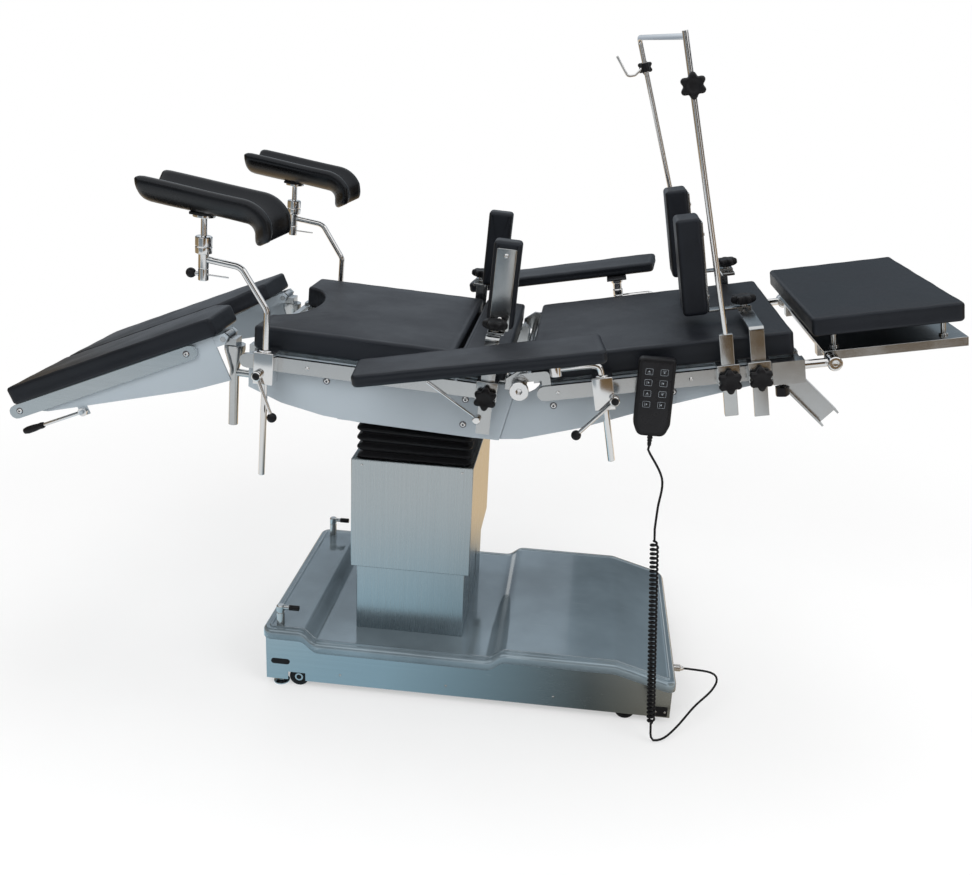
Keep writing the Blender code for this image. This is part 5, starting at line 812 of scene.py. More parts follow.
def smooth_route(corners, count):
    """Even steps along a Catmull-Rom curve through the corners."""
    corners = np.asarray(corners, float)
    ends = np.vstack([corners[0] * 2 - corners[1], corners, corners[-1] * 2 - corners[-2]])
    a, b, c, d = ends[:-3, None], ends[1:-2, None], ends[2:-1, None], ends[3:, None]
    t = (np.arange(24) / 24)[None, :, None]
    fine = (b * 2 + (c - a) * t + (a * 2 - b * 5 + c * 4 - d) * t ** 2
            + (b * 3 - a - c * 3 + d) * t ** 3) / 2
    fine = np.vstack([fine.reshape(-1, 3), corners[-1:]])
    return at_runs(fine, np.linspace(0, length_of(fine), count))


def curl_route(per_turn=16):
    """The curly part: a helix about the line from head to foot, fading in and out over one turn, with
    a straight run at each end."""
    along = unit(CURL_FOOT - CURL_HEAD)
    across = np.array(Vector(along).orthogonal().normalized())
    third = np.cross(along, across)
    run = CORD_R * 2
    wound = np.linalg.norm(CURL_FOOT - CURL_HEAD) - run * 6
    turns = round(wound / CURL_PITCH)
    steps = turns * per_turn
    i = np.arange(steps + 1)[:, None]
    turn = TURN * i / per_turn
    reach = CURL_R * np.clip(np.minimum(i, steps - i) / per_turn, 0, 1)
    centre = CURL_HEAD + along * (run * 3 + wound * i / steps)
    helix = centre + across * reach * np.cos(turn) + third * reach * np.sin(turn)
    return np.vstack([CURL_HEAD, CURL_HEAD + along * run, helix, CURL_FOOT - along * run, CURL_FOOT])


def cord_curve(name, points, body, node):
    """A cord as one open spline with a round bevel, made a mesh where it is given more than one body."""
    data = bpy.data.curves.new(name, "CURVE")
    data.dimensions = "3D"
    data.bevel_depth = CORD_R
    data.bevel_resolution = 4
    data.use_fill_caps = True
    line = data.splines.new("POLY")
    line.points.add(len(points) - 1)
    line.points.foreach_set("co", np.column_stack([points, np.ones(len(points))]).ravel())
    line.use_smooth = True
    data.materials.append(material("rubber"))
    piece = placed(name, data)
    if not isinstance(body, str):
        mesh = bpy.data.meshes.new_from_object(piece)
        bpy.data.objects.remove(piece)
        piece = placed(name, mesh)
    return hand_over(piece, body, (node,))


def build_cords():
    """The hand control's cord: a straight lead, the curly part, the tail and the plug in the base."""
    along = unit(CURL_FOOT - CURL_HEAD)
    down = np.array([0, 0, -0.010])
    lead = smooth_route([LEAD_TOP, LEAD_TOP + down, *LEAD_CORNERS, CURL_HEAD - along * 0.010,
                         CURL_HEAD - along * GAP], 22)
    curl = curl_route()
    tail = smooth_route([CURL_FOOT + along * GAP, CURL_FOOT + along * 0.010, *TAIL_CORNERS,
                         PLUG_END + np.array([0.010, 0, 0]), PLUG_END], 40)
    shell = Shell(FLOOR)
    turned(shell, (0.5965, PLUG_Y, PLUG_Z), (1, 0, 0),
           [(0, 0.0072), (0.009, 0.0072), (0.009, 0.0066), (0.013, 0.0066), (0.013, 0.0075), (0.028, 0.0075),
            (0.0300, 0.0060), (0.0370, 0.0040), (0.0372, 0.0008)], "chrome", 32, 0.0005)
    hexagon = circle(0.011, 6)[:, ::-1] + (PLUG_Y, PLUG_Z)
    plate(shell, hexagon, "X", 0.5985, 0.6043, "chrome", 0.0008, 0.001)
    for at in (0.617, 0.620, 0.623):
        turned(shell, (at, PLUG_Y, PLUG_Z), (1, 0, 0),
               [(0, 0.0074), (0.0006, 0.0079), (0.0016, 0.0079), (0.0022, 0.0074)], "chrome", 32, 0)
    plug = shell.make("base_plug", "base", ("cord_plug",), "chrome")
    pieces = [(cord_curve("hand_lead", lead, "hand_control", "cord_lead"), lead, "hanging", "object", []),
              (cord_curve("hand_curl", curl, ("lift", "base", CURL_HEAD, CURL_FOOT), "cord_curl"), curl, "coiled",
               "object", []),
              (cord_curve("hand_tail", tail, "base", "cord_tail"), tail, "loose", "plug", [plug])]


# Base

BASE_PROFILE = [(-0.318, 0.148), (-0.224, 0.148), (-0.197, 0.122), (0.196, 0.122), (0.223, 0.144),
                (0.470, 0.144), (0.606, 0.106)]
BASE_LEFT, BASE_RIGHT, LID_HALF = -0.318, 0.606, 0.260
WELL_X, WELL_Y = 0.085, 0.120
WHEEL_R = 0.022
LOCK_X, LOCK_Y, LOCK_LEVER_Z = -0.282, 0.228, 0.190


def deck_height(x):
    """The cover's height along its length, with its bends eased."""
    line = soften(BASE_PROFILE, 0.030, 8, closed=False)
    return np.interp(x, line[:, 0], line[:, 1])


def build_lid():
    """The base cover: height(x) plus a bead that follows the edge, less the rounding e - sqrt(e^2 -
    (e - d)^2) where d, the distance from the edge of a rectangle with round corners, is under e. A
    hole inside the column lets the mast and its sleeve through."""
    corner, edge = 0.026, 0.009
    share = np.linspace(0, 1, 40)
    ends = 0.034 * (1 - np.cos(share * math.pi / 2))
    x = np.unique(np.concatenate([BASE_LEFT + ends, np.linspace(BASE_LEFT + 0.034, BASE_RIGHT - 0.034, 220),
                                  BASE_RIGHT - ends]))
    side = np.concatenate([1 - 0.13 * (1 - np.cos(share * math.pi / 2)), np.linspace(0.86, 0, 22)])
    v = np.unique(np.round(np.concatenate([side, -side]), 6))
    from_end = np.minimum(x - BASE_LEFT, BASE_RIGHT - x)
    inside = np.clip(corner - from_end, 0, corner)
    half = LID_HALF - corner + np.sqrt(corner ** 2 - inside ** 2)
    px = np.repeat(x[:, None], len(v), 1)
    py = half[:, None] * v[None]
    mid, reach = (BASE_LEFT + BASE_RIGHT) / 2, (BASE_RIGHT - BASE_LEFT) / 2
    qx, qy = np.abs(px - mid) - (reach - corner), np.abs(py) - (LID_HALF - corner)
    outside = np.hypot(np.maximum(qx, 0), np.maximum(qy, 0)) + np.minimum(np.maximum(qx, qy), 0) - corner
    d = np.maximum(-outside, 0)
    bead = 0.0022 * np.exp(-((d - 0.017) / 0.0032) ** 2)
    fall = np.where(d < edge, edge - np.sqrt(np.maximum(edge ** 2 - (edge - d) ** 2, 0)), 0)
    pz = deck_height(px) + bead - fall
    shell = Shell(FLOOR)
    rows, columns = px.shape
    points = np.stack([px, py, pz], -1).reshape(-1, 3)
    index = np.arange(rows * columns).reshape(rows, columns)
    quads = np.stack([index[:-1, :-1], index[1:, :-1], index[1:, 1:], index[:-1, 1:]], -1).reshape(-1, 4)
    middle = np.abs(points[quads].mean(1))
    quads = quads[(middle[:, 0] > WELL_X) | (middle[:, 1] > WELL_Y)]
    loop = np.concatenate([index[:, 0], index[-1, 1:], index[-2::-1, -1], index[0, -2:0:-1]])
    rim = points[loop]
    skirt = rim.copy()
    skirt[:, 2] = deck_height(rim[:, 0]) - 0.022
    lower = np.arange(len(loop)) + len(points)
    walls = np.stack([loop, lower, np.roll(lower, -1), np.roll(loop, -1)], -1)
    shell.add(np.vstack([points, skirt]), np.vstack([quads, walls]).tolist(), "lid")
    lid = shell.make("base_lid", "base", ("base_cover",), "base_cover_steel_blue", 50, outward=False)
    walled(lid, 0.0035)


def build_base():
    """The skirt's fittings, the castors and the two floor locks."""
    dressed("base_skirt", "base", "steel_level", 0.0012)
    build_lid()
    trim = Shell(FLOOR)
    plate(trim, stadium(-0.292, -0.262, 0.066, 0.0065), "Y", -0.2518, -0.2532, "rubber", 0.0006)
    block(trim, (0.560, 0.592), (-0.2518, -0.2545), (0.024, 0.046), "rubber", 0.001, 0.003)
    for x in (0.566, 0.586):
        screw(trim, (x, -0.2545, 0.035), (0, -1, 0), 0.0028, "steel")
    for x in (-0.14, 0.10, 0.34):
        for side in SIDES.values():
            screw(trim, (x, side * 0.252, 0.044), (0, side, 0), 0.0032, "steel")
    trim.make("base_trim", "base")
    for end, x in (("left", -0.238), ("right", 0.500)):
        shell = Shell(FLOOR)
        rod(shell, (x, -0.217, WHEEL_R), (x, 0.217, WHEEL_R), 0.006, "steel")
        for side in SIDES.values():
            turned(shell, (x, side * 0.215, WHEEL_R), (0, side, 0),
                   [(0, 0.010), (0, 0.018), (0.004, WHEEL_R), (0.024, WHEEL_R), (0.028, 0.018),
                    (0.028, 0.011), (0.0262, 0.010), (0.0262, 0.006), (0.0275, 0.005), (0.0275, 0.0006)],
                   "rubber", 48)
            turned(shell, (x, side * 0.2408, WHEEL_R), (0, side, 0),
                   [(0, 0.0095), (0.0006, 0.0095), (0.0006, 0.004), (0.0016, 0.0036), (0.0016, 0.0005)],
                   "steel", 32)
        shell.make(f"castors_{end}", f"castor_axle_{end}", (f"castor_axle_{end}",), "black_rubber")
    for name, side in SIDES.items():
        y = side * LOCK_Y
        shell = Shell(FLOOR)
        turned(shell, (LOCK_X, y, 0), (0, 0, 1),
               [(0, 0.0170), (0.0005, 0.018), (0.003, 0.018), (0.006, 0.009), (0.010, 0.006), (0.086, 0.006)],
               "steel", 40)
        turned(shell, (LOCK_X, y, 0.0853), (0, 0, 1),
               [(0, 0.0088), (0.092, 0.0088), (0.092, 0.0075), (0.0955, 0.0075), (0.0955, 0.0090),
                (0.1085, 0.0090), (0.1107, 0.0070), (0.1107, 0.0006)], "steel", 36)
        rod(shell, (-0.280, y, LOCK_LEVER_Z), (-0.2415, y, LOCK_LEVER_Z), 0.0048, "steel", tip=0.0052)
        turned(shell, (-0.262, y, LOCK_LEVER_Z), (1, 0, 0),
               [(0, 0.004), (0, 0.0060), (0.022, 0.0060), (0.0225, 0.005), (0.0225, 0.0006)], "knob", 28)
        shell.make(f"floor_lock_shown_{name}", f"floor_lock_{name}", (f"floor_lock_{name}",),
                   "polished_steel")


# Column

COLUMN_X = -0.103


def belly(x, drop):
    """Height of the seat panels' belly above the floor, less a drop, at an X ahead of the column."""
    tilt = math.radians(3.3)
    return 0.758 + (-0.126 - drop - (x - 0.228) * math.sin(tilt)) / math.cos(tilt)


def build_column():
    """The telescoping covers and the bellows: a rectangle with round corners, drawn in by the pleat
    times (1 - cos(turns)) / 2 to the power 0.75, its height a share of the way to the sloping belly."""
    dressed("lower_column_cover", "base", "steel_upright", 0.0018)
    dressed("upper_column_cover", "lift", "steel_upright", 0.0018)
    for node, finish in (("lift_mast", "steel"), ("tilt_cross", "steel"), ("base_chassis", "iron"),
                         ("power_unit", "iron")):
        refinished(node, finish)
    folds, levels, count = 5, 90, 160
    flat = spread(soften(oblong(-0.125, 0.125, -0.170, 0.170), 0.014, 6), count)
    share = np.linspace(0, 1, levels)
    drawn = 0.013 * (0.5 - 0.5 * np.cos(TURN * folds * share)) ** 0.75
    low = 0.5426
    rings = []
    for t, inset in zip(share, drawn):
        line = shrink(flat, inset + 0.0004)
        rings.append(np.column_stack([line, low + (belly(line[:, 0], 0.0012) - low) * t]))
    shell = Shell(FLOOR)
    shell.grid(np.array(rings), "bellows", caps=False)
    fold = ("lift", "cross", (COLUMN_X, 0, low), (COLUMN_X, 0, low + 0.056))
    walled(shell.make("column_bellows", fold, ("bellows",), "black_rubber", 60), 0.0022)
    trim = Shell(FLOOR)
    for side in SIDES.values():
        for x in (-0.110, 0.110):
            screw(trim, (x, side * 0.182, 0.530), (0, side, 0), 0.0026)
    trim.make("column_screws", "lift")
    seam = Shell(FLOOR)
    for side in SIDES.values():
        block(seam, (0.1225, 0.1240), (side * 0.060, side * 0.0615), (0.150, 0.41), "steel", 0.0003, 0.0004)
    seam.make("column_seam", "base")


# Frames and panels

def panel_screw(shell, centre, side):
    """A panel's fixing: a dark cup washer round a domed chrome screw."""
    turned(shell, centre, (0, side, 0), [(0, 0.0058), (0, 0.0074), (0.0008, 0.0070), (0.0009, 0.0058)],
           "iron", 32, 0.0002)
    screw(shell, centre, (0, side, 0), 0.0056)


def rail_screws(shell, places, side):
    """The screws that hold a rail."""
    for x in places:
        screw(shell, (x, side * 0.273, -0.015), (0, side, 0), 0.0040)


def on_leg_bar(local, side):
    """Which faces lie on the flat bar along a leg plate's outer side."""
    out = local[:, 1] * side
    return (out > 0.2372) & (np.abs(local[:, 2] + 0.0025) < 0.0165)


def build_frames():
    """The seat and back frames with their rails, the painted panels and their screws."""
    dressed("seat_frame", "seat", "steel", 0.0009)
    centre = [BACK.place((0.506, side * 0.268, -0.060)) for side in SIDES.values()]
    black = ("knob", lambda m: np.min([np.linalg.norm(m - c, axis=1) for c in centre], axis=0) < 0.0185)
    dressed("back_frame", "back", "steel", 0.0009, (black,))
    dressed("seat_shell", "seat", "paint", 0.0016)
    dressed("back_shell", "back", "paint", 0.0016)
    dressed("kidney_bridge", "kidney", "steel", 0.0009)
    screws = Shell(SEAT)
    rails = Shell(SEAT)
    for side in SIDES.values():
        for x, z in ((-0.396, -0.046), (-0.108, -0.046), (-0.530, -0.040), (-0.108, -0.100)):
            panel_screw(screws, (x, side * 0.2445, z), side)
        rail_screws(rails, (-0.430, -0.270), side)
    screws.make("seat_panel_screws", "seat")
    rails.make("seat_rail_screws", "seat")
    screws = Shell(BACK)
    for side in SIDES.values():
        for x, z in ((0.060, -0.052), (0.300, -0.048), (0.500, -0.035)):
            panel_screw(screws, (x, side * 0.2385, z), side)
        rail_screws(screws, (0.075, 0.335), side)
    screws.make("back_panel_screws", "back")
    crank = Shell(SEAT)
    rod(crank, (0, -0.275, 0), (0, 0.275, 0), 0.007, "steel")
    hexagon = spread(circle(0.0062, 6), 72)
    for side in SIDES.values():
        pierced(crank, circle(0.019, 72), hexagon, "Y", *sorted((side * 0.281, side * 0.290)), "chrome",
                0.0008)
        turned(crank, (0, side * 0.2742, 0), (0, side, 0),
               [(0, 0.009), (0, 0.0168), (0.0012, 0.0182), (0.0069, 0.0182), (0.0069, 0.001)], "chrome", 48)
    crank.make("crank_hubs", "crank", ("kidney_crank",), "chrome")
    for name, side in SIDES.items():
        bar = ("steel_level", lambda m: on_leg_bar(LEG.local(m), side))
        dressed(f"leg_frame_{name}", f"leg_{name}", "paint", 0.0010, (bar,))
        dressed(f"leg_post_{name}", f"leg_post_{name}", "steel", 0.0008)
        fit = Shell(LEG)
        for x in (-0.490, -0.083):
            panel_screw(fit, (x, side * 0.2405, -0.0025), side)
        fit.make(f"leg_bar_screws_{name}", f"leg_{name}")
        lever = Shell(LEG)
        x, z, y = -0.358, -0.048, side * 0.2358
        turned(lever, (x, side * 0.2318, z), (0, side, 0),
               [(0, 0.005), (0, 0.0098), (0.008, 0.0098), (0.008, 0.0052)], "chrome", 36)
        rod(lever, (x, y, z), (x - 0.101, y, z), 0.004, "chrome")
        turned(lever, (x - 0.098, y, z), (-1, 0, 0),
               [(0, 0.0040), (0, 0.0062), (0.006, 0.0072), (0.012, 0.0066), (0.024, 0.0079), (0.040, 0.0080),
                (0.0485, 0.0062), (0.0500, 0.0035), (0.0502, 0.0006)], "knob", 32, 0.002)
        lever.make(f"leg_lever_shown_{name}", f"leg_lever_{name}", (f"leg_lever_{name}",), "chrome")


# Head section

def build_head():
    """The head slide's rods, cross shaft and end knobs, and the tray with its cushion posts."""
    x, y, z = 0.604, 0.268, -0.010
    slide = Shell(BACK)
    rod(slide, (x, -y, z), (x, y, z), 0.006, "chrome")
    for side in SIDES.values():
        rod(slide, (0.495, side * y, z), (0.606, side * y, z), 0.0085, "chrome", 32)
        turned(slide, (x, side * 0.252, z), (0, side, 0),
               [(0, 0.008), (0, 0.0128), (0.0012, 0.0140), (0.014, 0.0140), (0.0155, 0.0132), (0.017, 0.0140),
                (0.034, 0.0140), (0.036, 0.0124), (0.036, 0.0050), (0.0345, 0.0044), (0.0345, 0.0005)],
               "chrome", 40)
    slide.make("head_rods_shown", "head_rods", ("head_slide",), "chrome")
    dressed("head_tray", "head", "steel", 0.0008)
    collars = Shell(BACK)
    for x in (0.618, 0.822):
        for side in SIDES.values():
            turned(collars, (x, side * 0.215, 0.0052), (0, 0, 1),
                   [(0, 0.0052), (0, 0.0085), (0.003, 0.0085), (0.0035, 0.0054)], "chrome", 28)
            turned(collars, (x, side * 0.215, 0.0322), (0, 0, 1),
                   [(0, 0.0052), (0, 0.0095), (0.003, 0.0095), (0.003, 0.0054)], "chrome", 28)
    collars.make("head_post_collars", "head")


# Rail clamps and the accessories on them

RAIL_FACE = 0.2733


def clamp_outline(side, outer, low, high):
    """A clamp from its end: a block outside the rail that hooks over the top, with a lip behind."""
    near, far, back = RAIL_FACE, 0.2627, 0.255
    points = [(near, low), (outer, low), (outer, high), (back, high), (back, -0.0085), (far, -0.0085),
              (far, GAP), (near, GAP)]
    return [(side * y, z) for y, z in points]


def post_clamp(section, name, body, x, side, ball_at, lever_end):
    """A post's rail clamp: the block, a collar with a ball knob and a lever that ends in a ball."""
    shell = Shell(section)
    plate(shell, clamp_outline(side, 0.308, -0.050, 0.016), "X", x - 0.020, x + 0.020, "chrome", 0.0012,
          0.002)
    turned(shell, (x, side * POST_Y, 0.0158), (0, 0, 1),
           [(0, 0.0100), (0, 0.0128), (0.0020, 0.0128), (0.0028, 0.0112)], "chrome", 36)
    knob_x, knob_z = x + ball_at[0], ball_at[1]
    turned(shell, (knob_x, side * 0.3065, knob_z), (0, side, 0),
           [(0, 0.0098), (0.0060, 0.0098), (0.0068, 0.0088), (0.0074, 0.0098), (0.0135, 0.0098),
            (0.0150, 0.0084), (0.0150, 0.0010)], "chrome", 36)
    lever_y = side * 0.3152
    end = (x + lever_end[0], lever_y, lever_end[1])
    rod(shell, (knob_x, lever_y, knob_z), end, 0.0036, "chrome", 20, tip=0.0040)
    ball(shell, end, 0.0100, "knob")
    ball(shell, (knob_x + 0.0005, side * 0.3163, knob_z), 0.0092, "knob")
    shell.make(name + "_shown", body, (name,), "chrome")


def build_arm_boards():
    """Each arm board's clamp and its post: a round bar bent to the swivel head and the board's plate."""
    for name, side in SIDES.items():
        y = side * POST_Y
        post, head = arm_shift(side) + 0.165, arm_shift(side) + 0.078
        shell = Shell(BACK)
        tube(shell, [(post, y, -0.160), (post, y, 0.040), (head, y, 0.040)], 0.007, "chrome", 0.018,
             (0, 1, 0), 28)
        turned(shell, (head, y, 0.026), (0, 0, 1),
               [(0, 0.0080), (0, 0.0112), (0.0010, 0.0120), (0.020, 0.0120), (0.0215, 0.0110),
                (0.023, 0.0120), (0.034, 0.0120), (0.036, 0.0104), (0.050, 0.0104), (0.052, 0.0135),
                (0.0577, 0.0135)],
               "chrome", 40)
        block(shell, (head - 0.024, head + 0.024), (side * 0.2815, side * 0.434), (0.0837, 0.0867),
              "knob", 0.0008, 0.003)
        for at in (0.330, 0.420):
            screw(shell, (head, side * at, 0.0838), (0, 0, -1), 0.0038)
        shell.make(f"arm_post_shown_{name}", f"arm_{name}", (f"arm_post_{name}",), "chrome")
        post_clamp(BACK, f"arm_clamp_{name}", f"arm_clamp_{name}", post, side, (0.020, -0.030),
                   (-0.062, -0.092))


def build_crutches():
    """Each crutch's clamp and its pole, bent twice, with the swivel, its cup, stem and ball knob."""
    for name, side in SIDES.items():
        y = side * POST_Y
        shell = Shell(SEAT)
        tube(shell, [(-0.510, y, -0.250), (-0.510, y, 0.100), (-0.565, y, 0.180), (-0.634, y, 0.187)], 0.0065,
             "chrome", 0.026, (0, 1, 0), 28)
        turned(shell, (-0.640, y, 0.145), (0, 0, 1),
               [(0, 0.0080), (0, 0.0094), (0.0010, 0.0100), (0.022, 0.0100), (0.0235, 0.0093),
                (0.025, 0.0100), (0.052, 0.0100), (0.054, 0.0160), (0.066, 0.0164), (0.0675, 0.0152),
                (0.069, 0.0164), (0.085, 0.0164), (0.087, 0.0150), (0.088, 0.0060), (0.121, 0.0060),
                (0.123, 0.0110), (0.1245, 0.0215), (0.129, 0.0215), (0.129, 0.0010)], "chrome", 44)
        rod(shell, (-0.640, y, 0.157), (-0.661, y, 0.157), 0.004, "chrome")
        rod(shell, (-0.640, y, 0.157), (-0.589, y, 0.156), 0.0017, "chrome", 14)
        ball(shell, (-0.665, y, 0.157), 0.0100, "knob")
        shell.make(f"crutch_pole_shown_{name}", f"crutch_pole_{name}", (f"crutch_pole_{name}",), "chrome")
        post_clamp(SEAT, f"crutch_clamp_{name}", f"crutch_clamp_{name}", -0.510, side, (-0.010, -0.030),
                   (0.024, -0.114))


def jaw(shell, x, side):
    """A flat bar's rail clamp with the star knob that tightens it."""
    plate(shell, clamp_outline(side, 0.2885, -0.030, 0.010), "X", x - 0.0215, x + 0.0215, "steel", 0.0010,
          0.0016)
    turned(shell, (x, side * 0.2865, -0.020), (0, side, 0), [(0, 0.0080), (0.0075, 0.0080)], "steel", 28)
    star_knob(shell, (x, side * 0.2925, -0.020), (0, side, 0), 0.024, 0.017, "knob", 6)


def flat_bracket(shell, x, side, bar_z, reach, slot_from, slot_to):
    """A flat bar up the rail's outside, bent over the cushion in a tight radius, and slotted there."""
    thick, low = 0.006, -0.102
    y = RAIL_FACE + thick / 2
    section = soften([(-0.014, -thick / 2), (0.014, -thick / 2), (0.014, thick / 2), (-0.014, thick / 2)],
                     0.0008, 3)
    inner = min(slot_to + 0.006, 0.262)
    middle = bar_z - thick / 2
    route = soften([(x, side * y, low), (x, side * y, middle), (x, side * inner, middle)], 0.006, 8,
                   closed=False)
    swept(shell, route, section, (1, 0, 0), "steel")
    outer_line = spread(soften(oblong(x - 0.014, x + 0.014, side * inner, side * reach), 0.003, 4), 96)
    slot = spread(stadium(min(slot_from, inner - 0.006), inner - 0.0055, 0, 0.0045), 96)
    slot = np.stack([slot[:, 1] + x, side * slot[:, 0]], -1)
    start = np.argmin(np.linalg.norm(slot - outer_line[0], axis=1))
    slot = np.roll(slot, -start, 0)
    if np.linalg.norm(slot[8] - outer_line[8]) > np.linalg.norm(slot[-8] - outer_line[8]):
        slot = np.roll(slot[::-1], 1, 0)
    pierced(shell, outer_line, slot, "Z", bar_z - thick, bar_z, "steel", 0.0006)


def top_star(shell, x, y, bar_z):
    """The star knob above a slotted bar, its stud through the slot, and the washers."""
    turned(shell, (x, y, bar_z - 0.0106), (0, 0, 1),
           [(0, 0.003), (0, 0.0090), (0.004, 0.0090), (0.004, 0.004), (0.018, 0.004)], "chrome", 28)
    turned(shell, (x, y, bar_z + 0.0046), (0, 0, 1), [(0, 0.0078), (0.0045, 0.0078)], "chrome", 28)
    star_knob(shell, (x, y, bar_z + 0.0083), (0, 0, 1), 0.026, 0.018, "knob", 7)


class Slim:
    """A small cushion's own crown and waist."""
    crown = 0.0006
    waist = 0.0012


def upright_pad(shell, x, y, z):
    """A small upright cushion: the stuffed slab stood on its end, its outline seen along X or Y."""
    body = Shell(Section((0, 0, 0), 0))
    thin_y = abs(y[1] - y[0]) < abs(x[1] - x[0])
    wide, deep = (x, sorted(y)) if thin_y else (sorted(y), x)
    trim = Slim.crown
    cushion(body, oblong(*wide, *z), deep[0] + trim, deep[1] - trim, Slim, 0.009, 0.009, 180)
    points = np.vstack(body.points)
    shell.add(points[:, [0, 2, 1] if thin_y else [2, 0, 1]], body.faces, "leather")


def build_hip_supports():
    """Hip supports: bracket, the front one's lever, holder plate, star knobs and upright cushion."""
    for name, side in SIDES.items():
        x = {"front": -0.064, "rear": -0.146}[name]
        shell = Shell(SEAT)
        flat_bracket(shell, x, side, 0.100, 0.197, 0.211, 0.267)
        jaw(shell, x, side)
        if name == "front":
            y = side * 0.2763
            rod(shell, (x - 0.014, y, -0.072), (x - 0.123, y, -0.008), 0.0028, "chrome", 16)
            turned(shell, (x - 0.014, side * 0.2735, -0.072), (0, side, 0),
                   [(0, 0.0078), (0.0155, 0.0078), (0.0165, 0.0066), (0.0165, 0.0010)], "chrome", 32)
        shell.make(f"hip_bracket_shown_{name}", f"hip_bracket_{name}", (f"hip_bracket_{name}",),
                   "polished_steel")
        pad_x = x + {"front": 0.006, "rear": 0.036}[name]
        holder = Shell(SEAT)
        left, right = min(x, pad_x) - 0.014, max(x, pad_x) + 0.014
        block(holder, (left, right), (side * 0.2215, side * 0.257), (0.1003, 0.1043), "steel", 0.0006)
        block(holder, (pad_x - 0.020, pad_x + 0.020), (side * 0.2187, side * 0.2230), (0.1003, 0.2663),
              "steel", 0.0008, 0.004)
        for z in (0.124, 0.252):
            screw(holder, (pad_x, side * 0.2230, z), (0, side, 0), 0.0050)
        top_star(holder, x, side * 0.243, 0.100)
        holder.make(f"hip_holder_{name}", f"hip_pad_{name}", (f"hip_pad_{name}",))
        pad = Shell(SEAT)
        upright_pad(pad, (pad_x - 0.028, pad_x + 0.028), (side * 0.174, side * 0.2192), (0.1025, 0.2803))
        padded_piece(pad, f"hip_cushion_{name}", f"hip_pad_{name}")


def build_shoulder_supports():
    """Shoulder supports: bracket, holder plate, star knobs and upright cushion."""
    for name, side in SIDES.items():
        x, bar_z = 0.464, {"front": 0.077, "rear": 0.104}[name]
        knob_y = {"front": 0.110, "rear": 0.165}[name]
        shell = Shell(BACK)
        flat_bracket(shell, x, side, bar_z, knob_y - 0.046, knob_y - 0.032, knob_y + 0.032)
        jaw(shell, x, side)
        shell.make(f"shoulder_bracket_shown_{name}", f"shoulder_bracket_{name}",
                   (f"shoulder_bracket_{name}",), "polished_steel")
        low = bar_z + GAP
        holder = Shell(BACK)
        block(holder, (0.388, 0.478), (side * (knob_y - 0.014), side * (knob_y + 0.014)),
              (low, low + 0.004), "steel", 0.0006)
        block(holder, (0.3897, 0.394), (side * (knob_y - 0.014), side * (knob_y + 0.014)),
              (low, low + 0.186), "steel", 0.0008, 0.001)
        for z in (0.030, 0.160):
            screw(holder, (0.394, side * knob_y, low + z), (1, 0, 0), 0.0050)
        top_star(holder, x, side * knob_y, bar_z)
        holder.make(f"shoulder_holder_{name}", f"shoulder_pad_{name}", (f"shoulder_pad_{name}",))
        pad = Shell(BACK)
        upright_pad(pad, (0.338, 0.3898), (side * (knob_y - 0.045), side * (knob_y + 0.045)),
                    (low + 0.002, low + 0.200))
        padded_piece(pad, f"shoulder_cushion_{name}", f"shoulder_pad_{name}")


# Screen

def build_screen():
    """The screen: two leaning poles and the cross bar on clamped flats, a star knob, and the hook."""
    line, low, front, rear = 0.2793, 0.060, 0.406, 0.386
    front_x = lambda z: front - 0.030 * (z - low) / 0.560
    rear_x = lambda z: rear - 0.066 * (z - low) / 0.582
    shell = Shell(BACK)
    rod(shell, (front, -line, low), (front_x(0.6245), -line, 0.6245), 0.0055, "chrome", 28)
    bar = np.array([(front_x(0.614), -line, 0.614), (0.320, line, 0.642), (rear, line, low)])
    normal = np.cross(bar[0] - bar[1], bar[2] - bar[1])
    tube(shell, bar, 0.0055, "chrome", 0.016, normal if normal[0] > 0 else -normal, 28)
    for side, x in ((-1, front), (1, rear)):
        block(shell, (x - 0.013, x + 0.013), (side * 0.2736, side * 0.2853), (-0.094, 0.070), "steel",
              0.0010, 0.002)
        jaw(shell, x, side)
    x = front_x(0.530)
    turned(shell, (x, -line, 0.519), (-0.030, 0, 0.560),
           [(0, 0.0062), (0, 0.0095), (0.0010, 0.0100), (0.021, 0.0100), (0.022, 0.0092), (0.022, 0.0062)],
           "knob", 32)
    star_knob(shell, (x, -0.2872, 0.530), (0, -1, 0), 0.024, 0.0195, "knob", 6)
    shell.make("screen_frame_shown", "screen", ("screen_frame",), "chrome")
    hook = Shell(BACK)
    x = rear_x(0.575)
    turned(hook, (rear_x(0.565), line, 0.565), (-0.066, 0, 0.582),
           [(0, 0.0062), (0, 0.0095), (0.0010, 0.0100), (0.019, 0.0100), (0.020, 0.0092), (0.020, 0.0062)],
           "knob", 32)
    star_knob(hook, (x, line + 0.008, 0.575), (0, 1, 0), 0.018, 0.0158, "knob", 6)
    tube(hook, [(x - 0.0067, line, 0.575), (x - 0.0248, line, 0.561), (x - 0.0422, line, 0.561),
                (x - 0.0620, line, 0.609)], 0.003, "chrome", 0.011, (0, 1, 0), 18)
    hook.make("screen_hook_shown", "screen_hook", ("screen_hook",), "black_plastic")


# Hand control

KEY_ROWS = (0.014, -0.008, -0.030, -0.052)
PRINT_Y = -0.29805, -0.2979
PRINT_EDGE = 0.00003


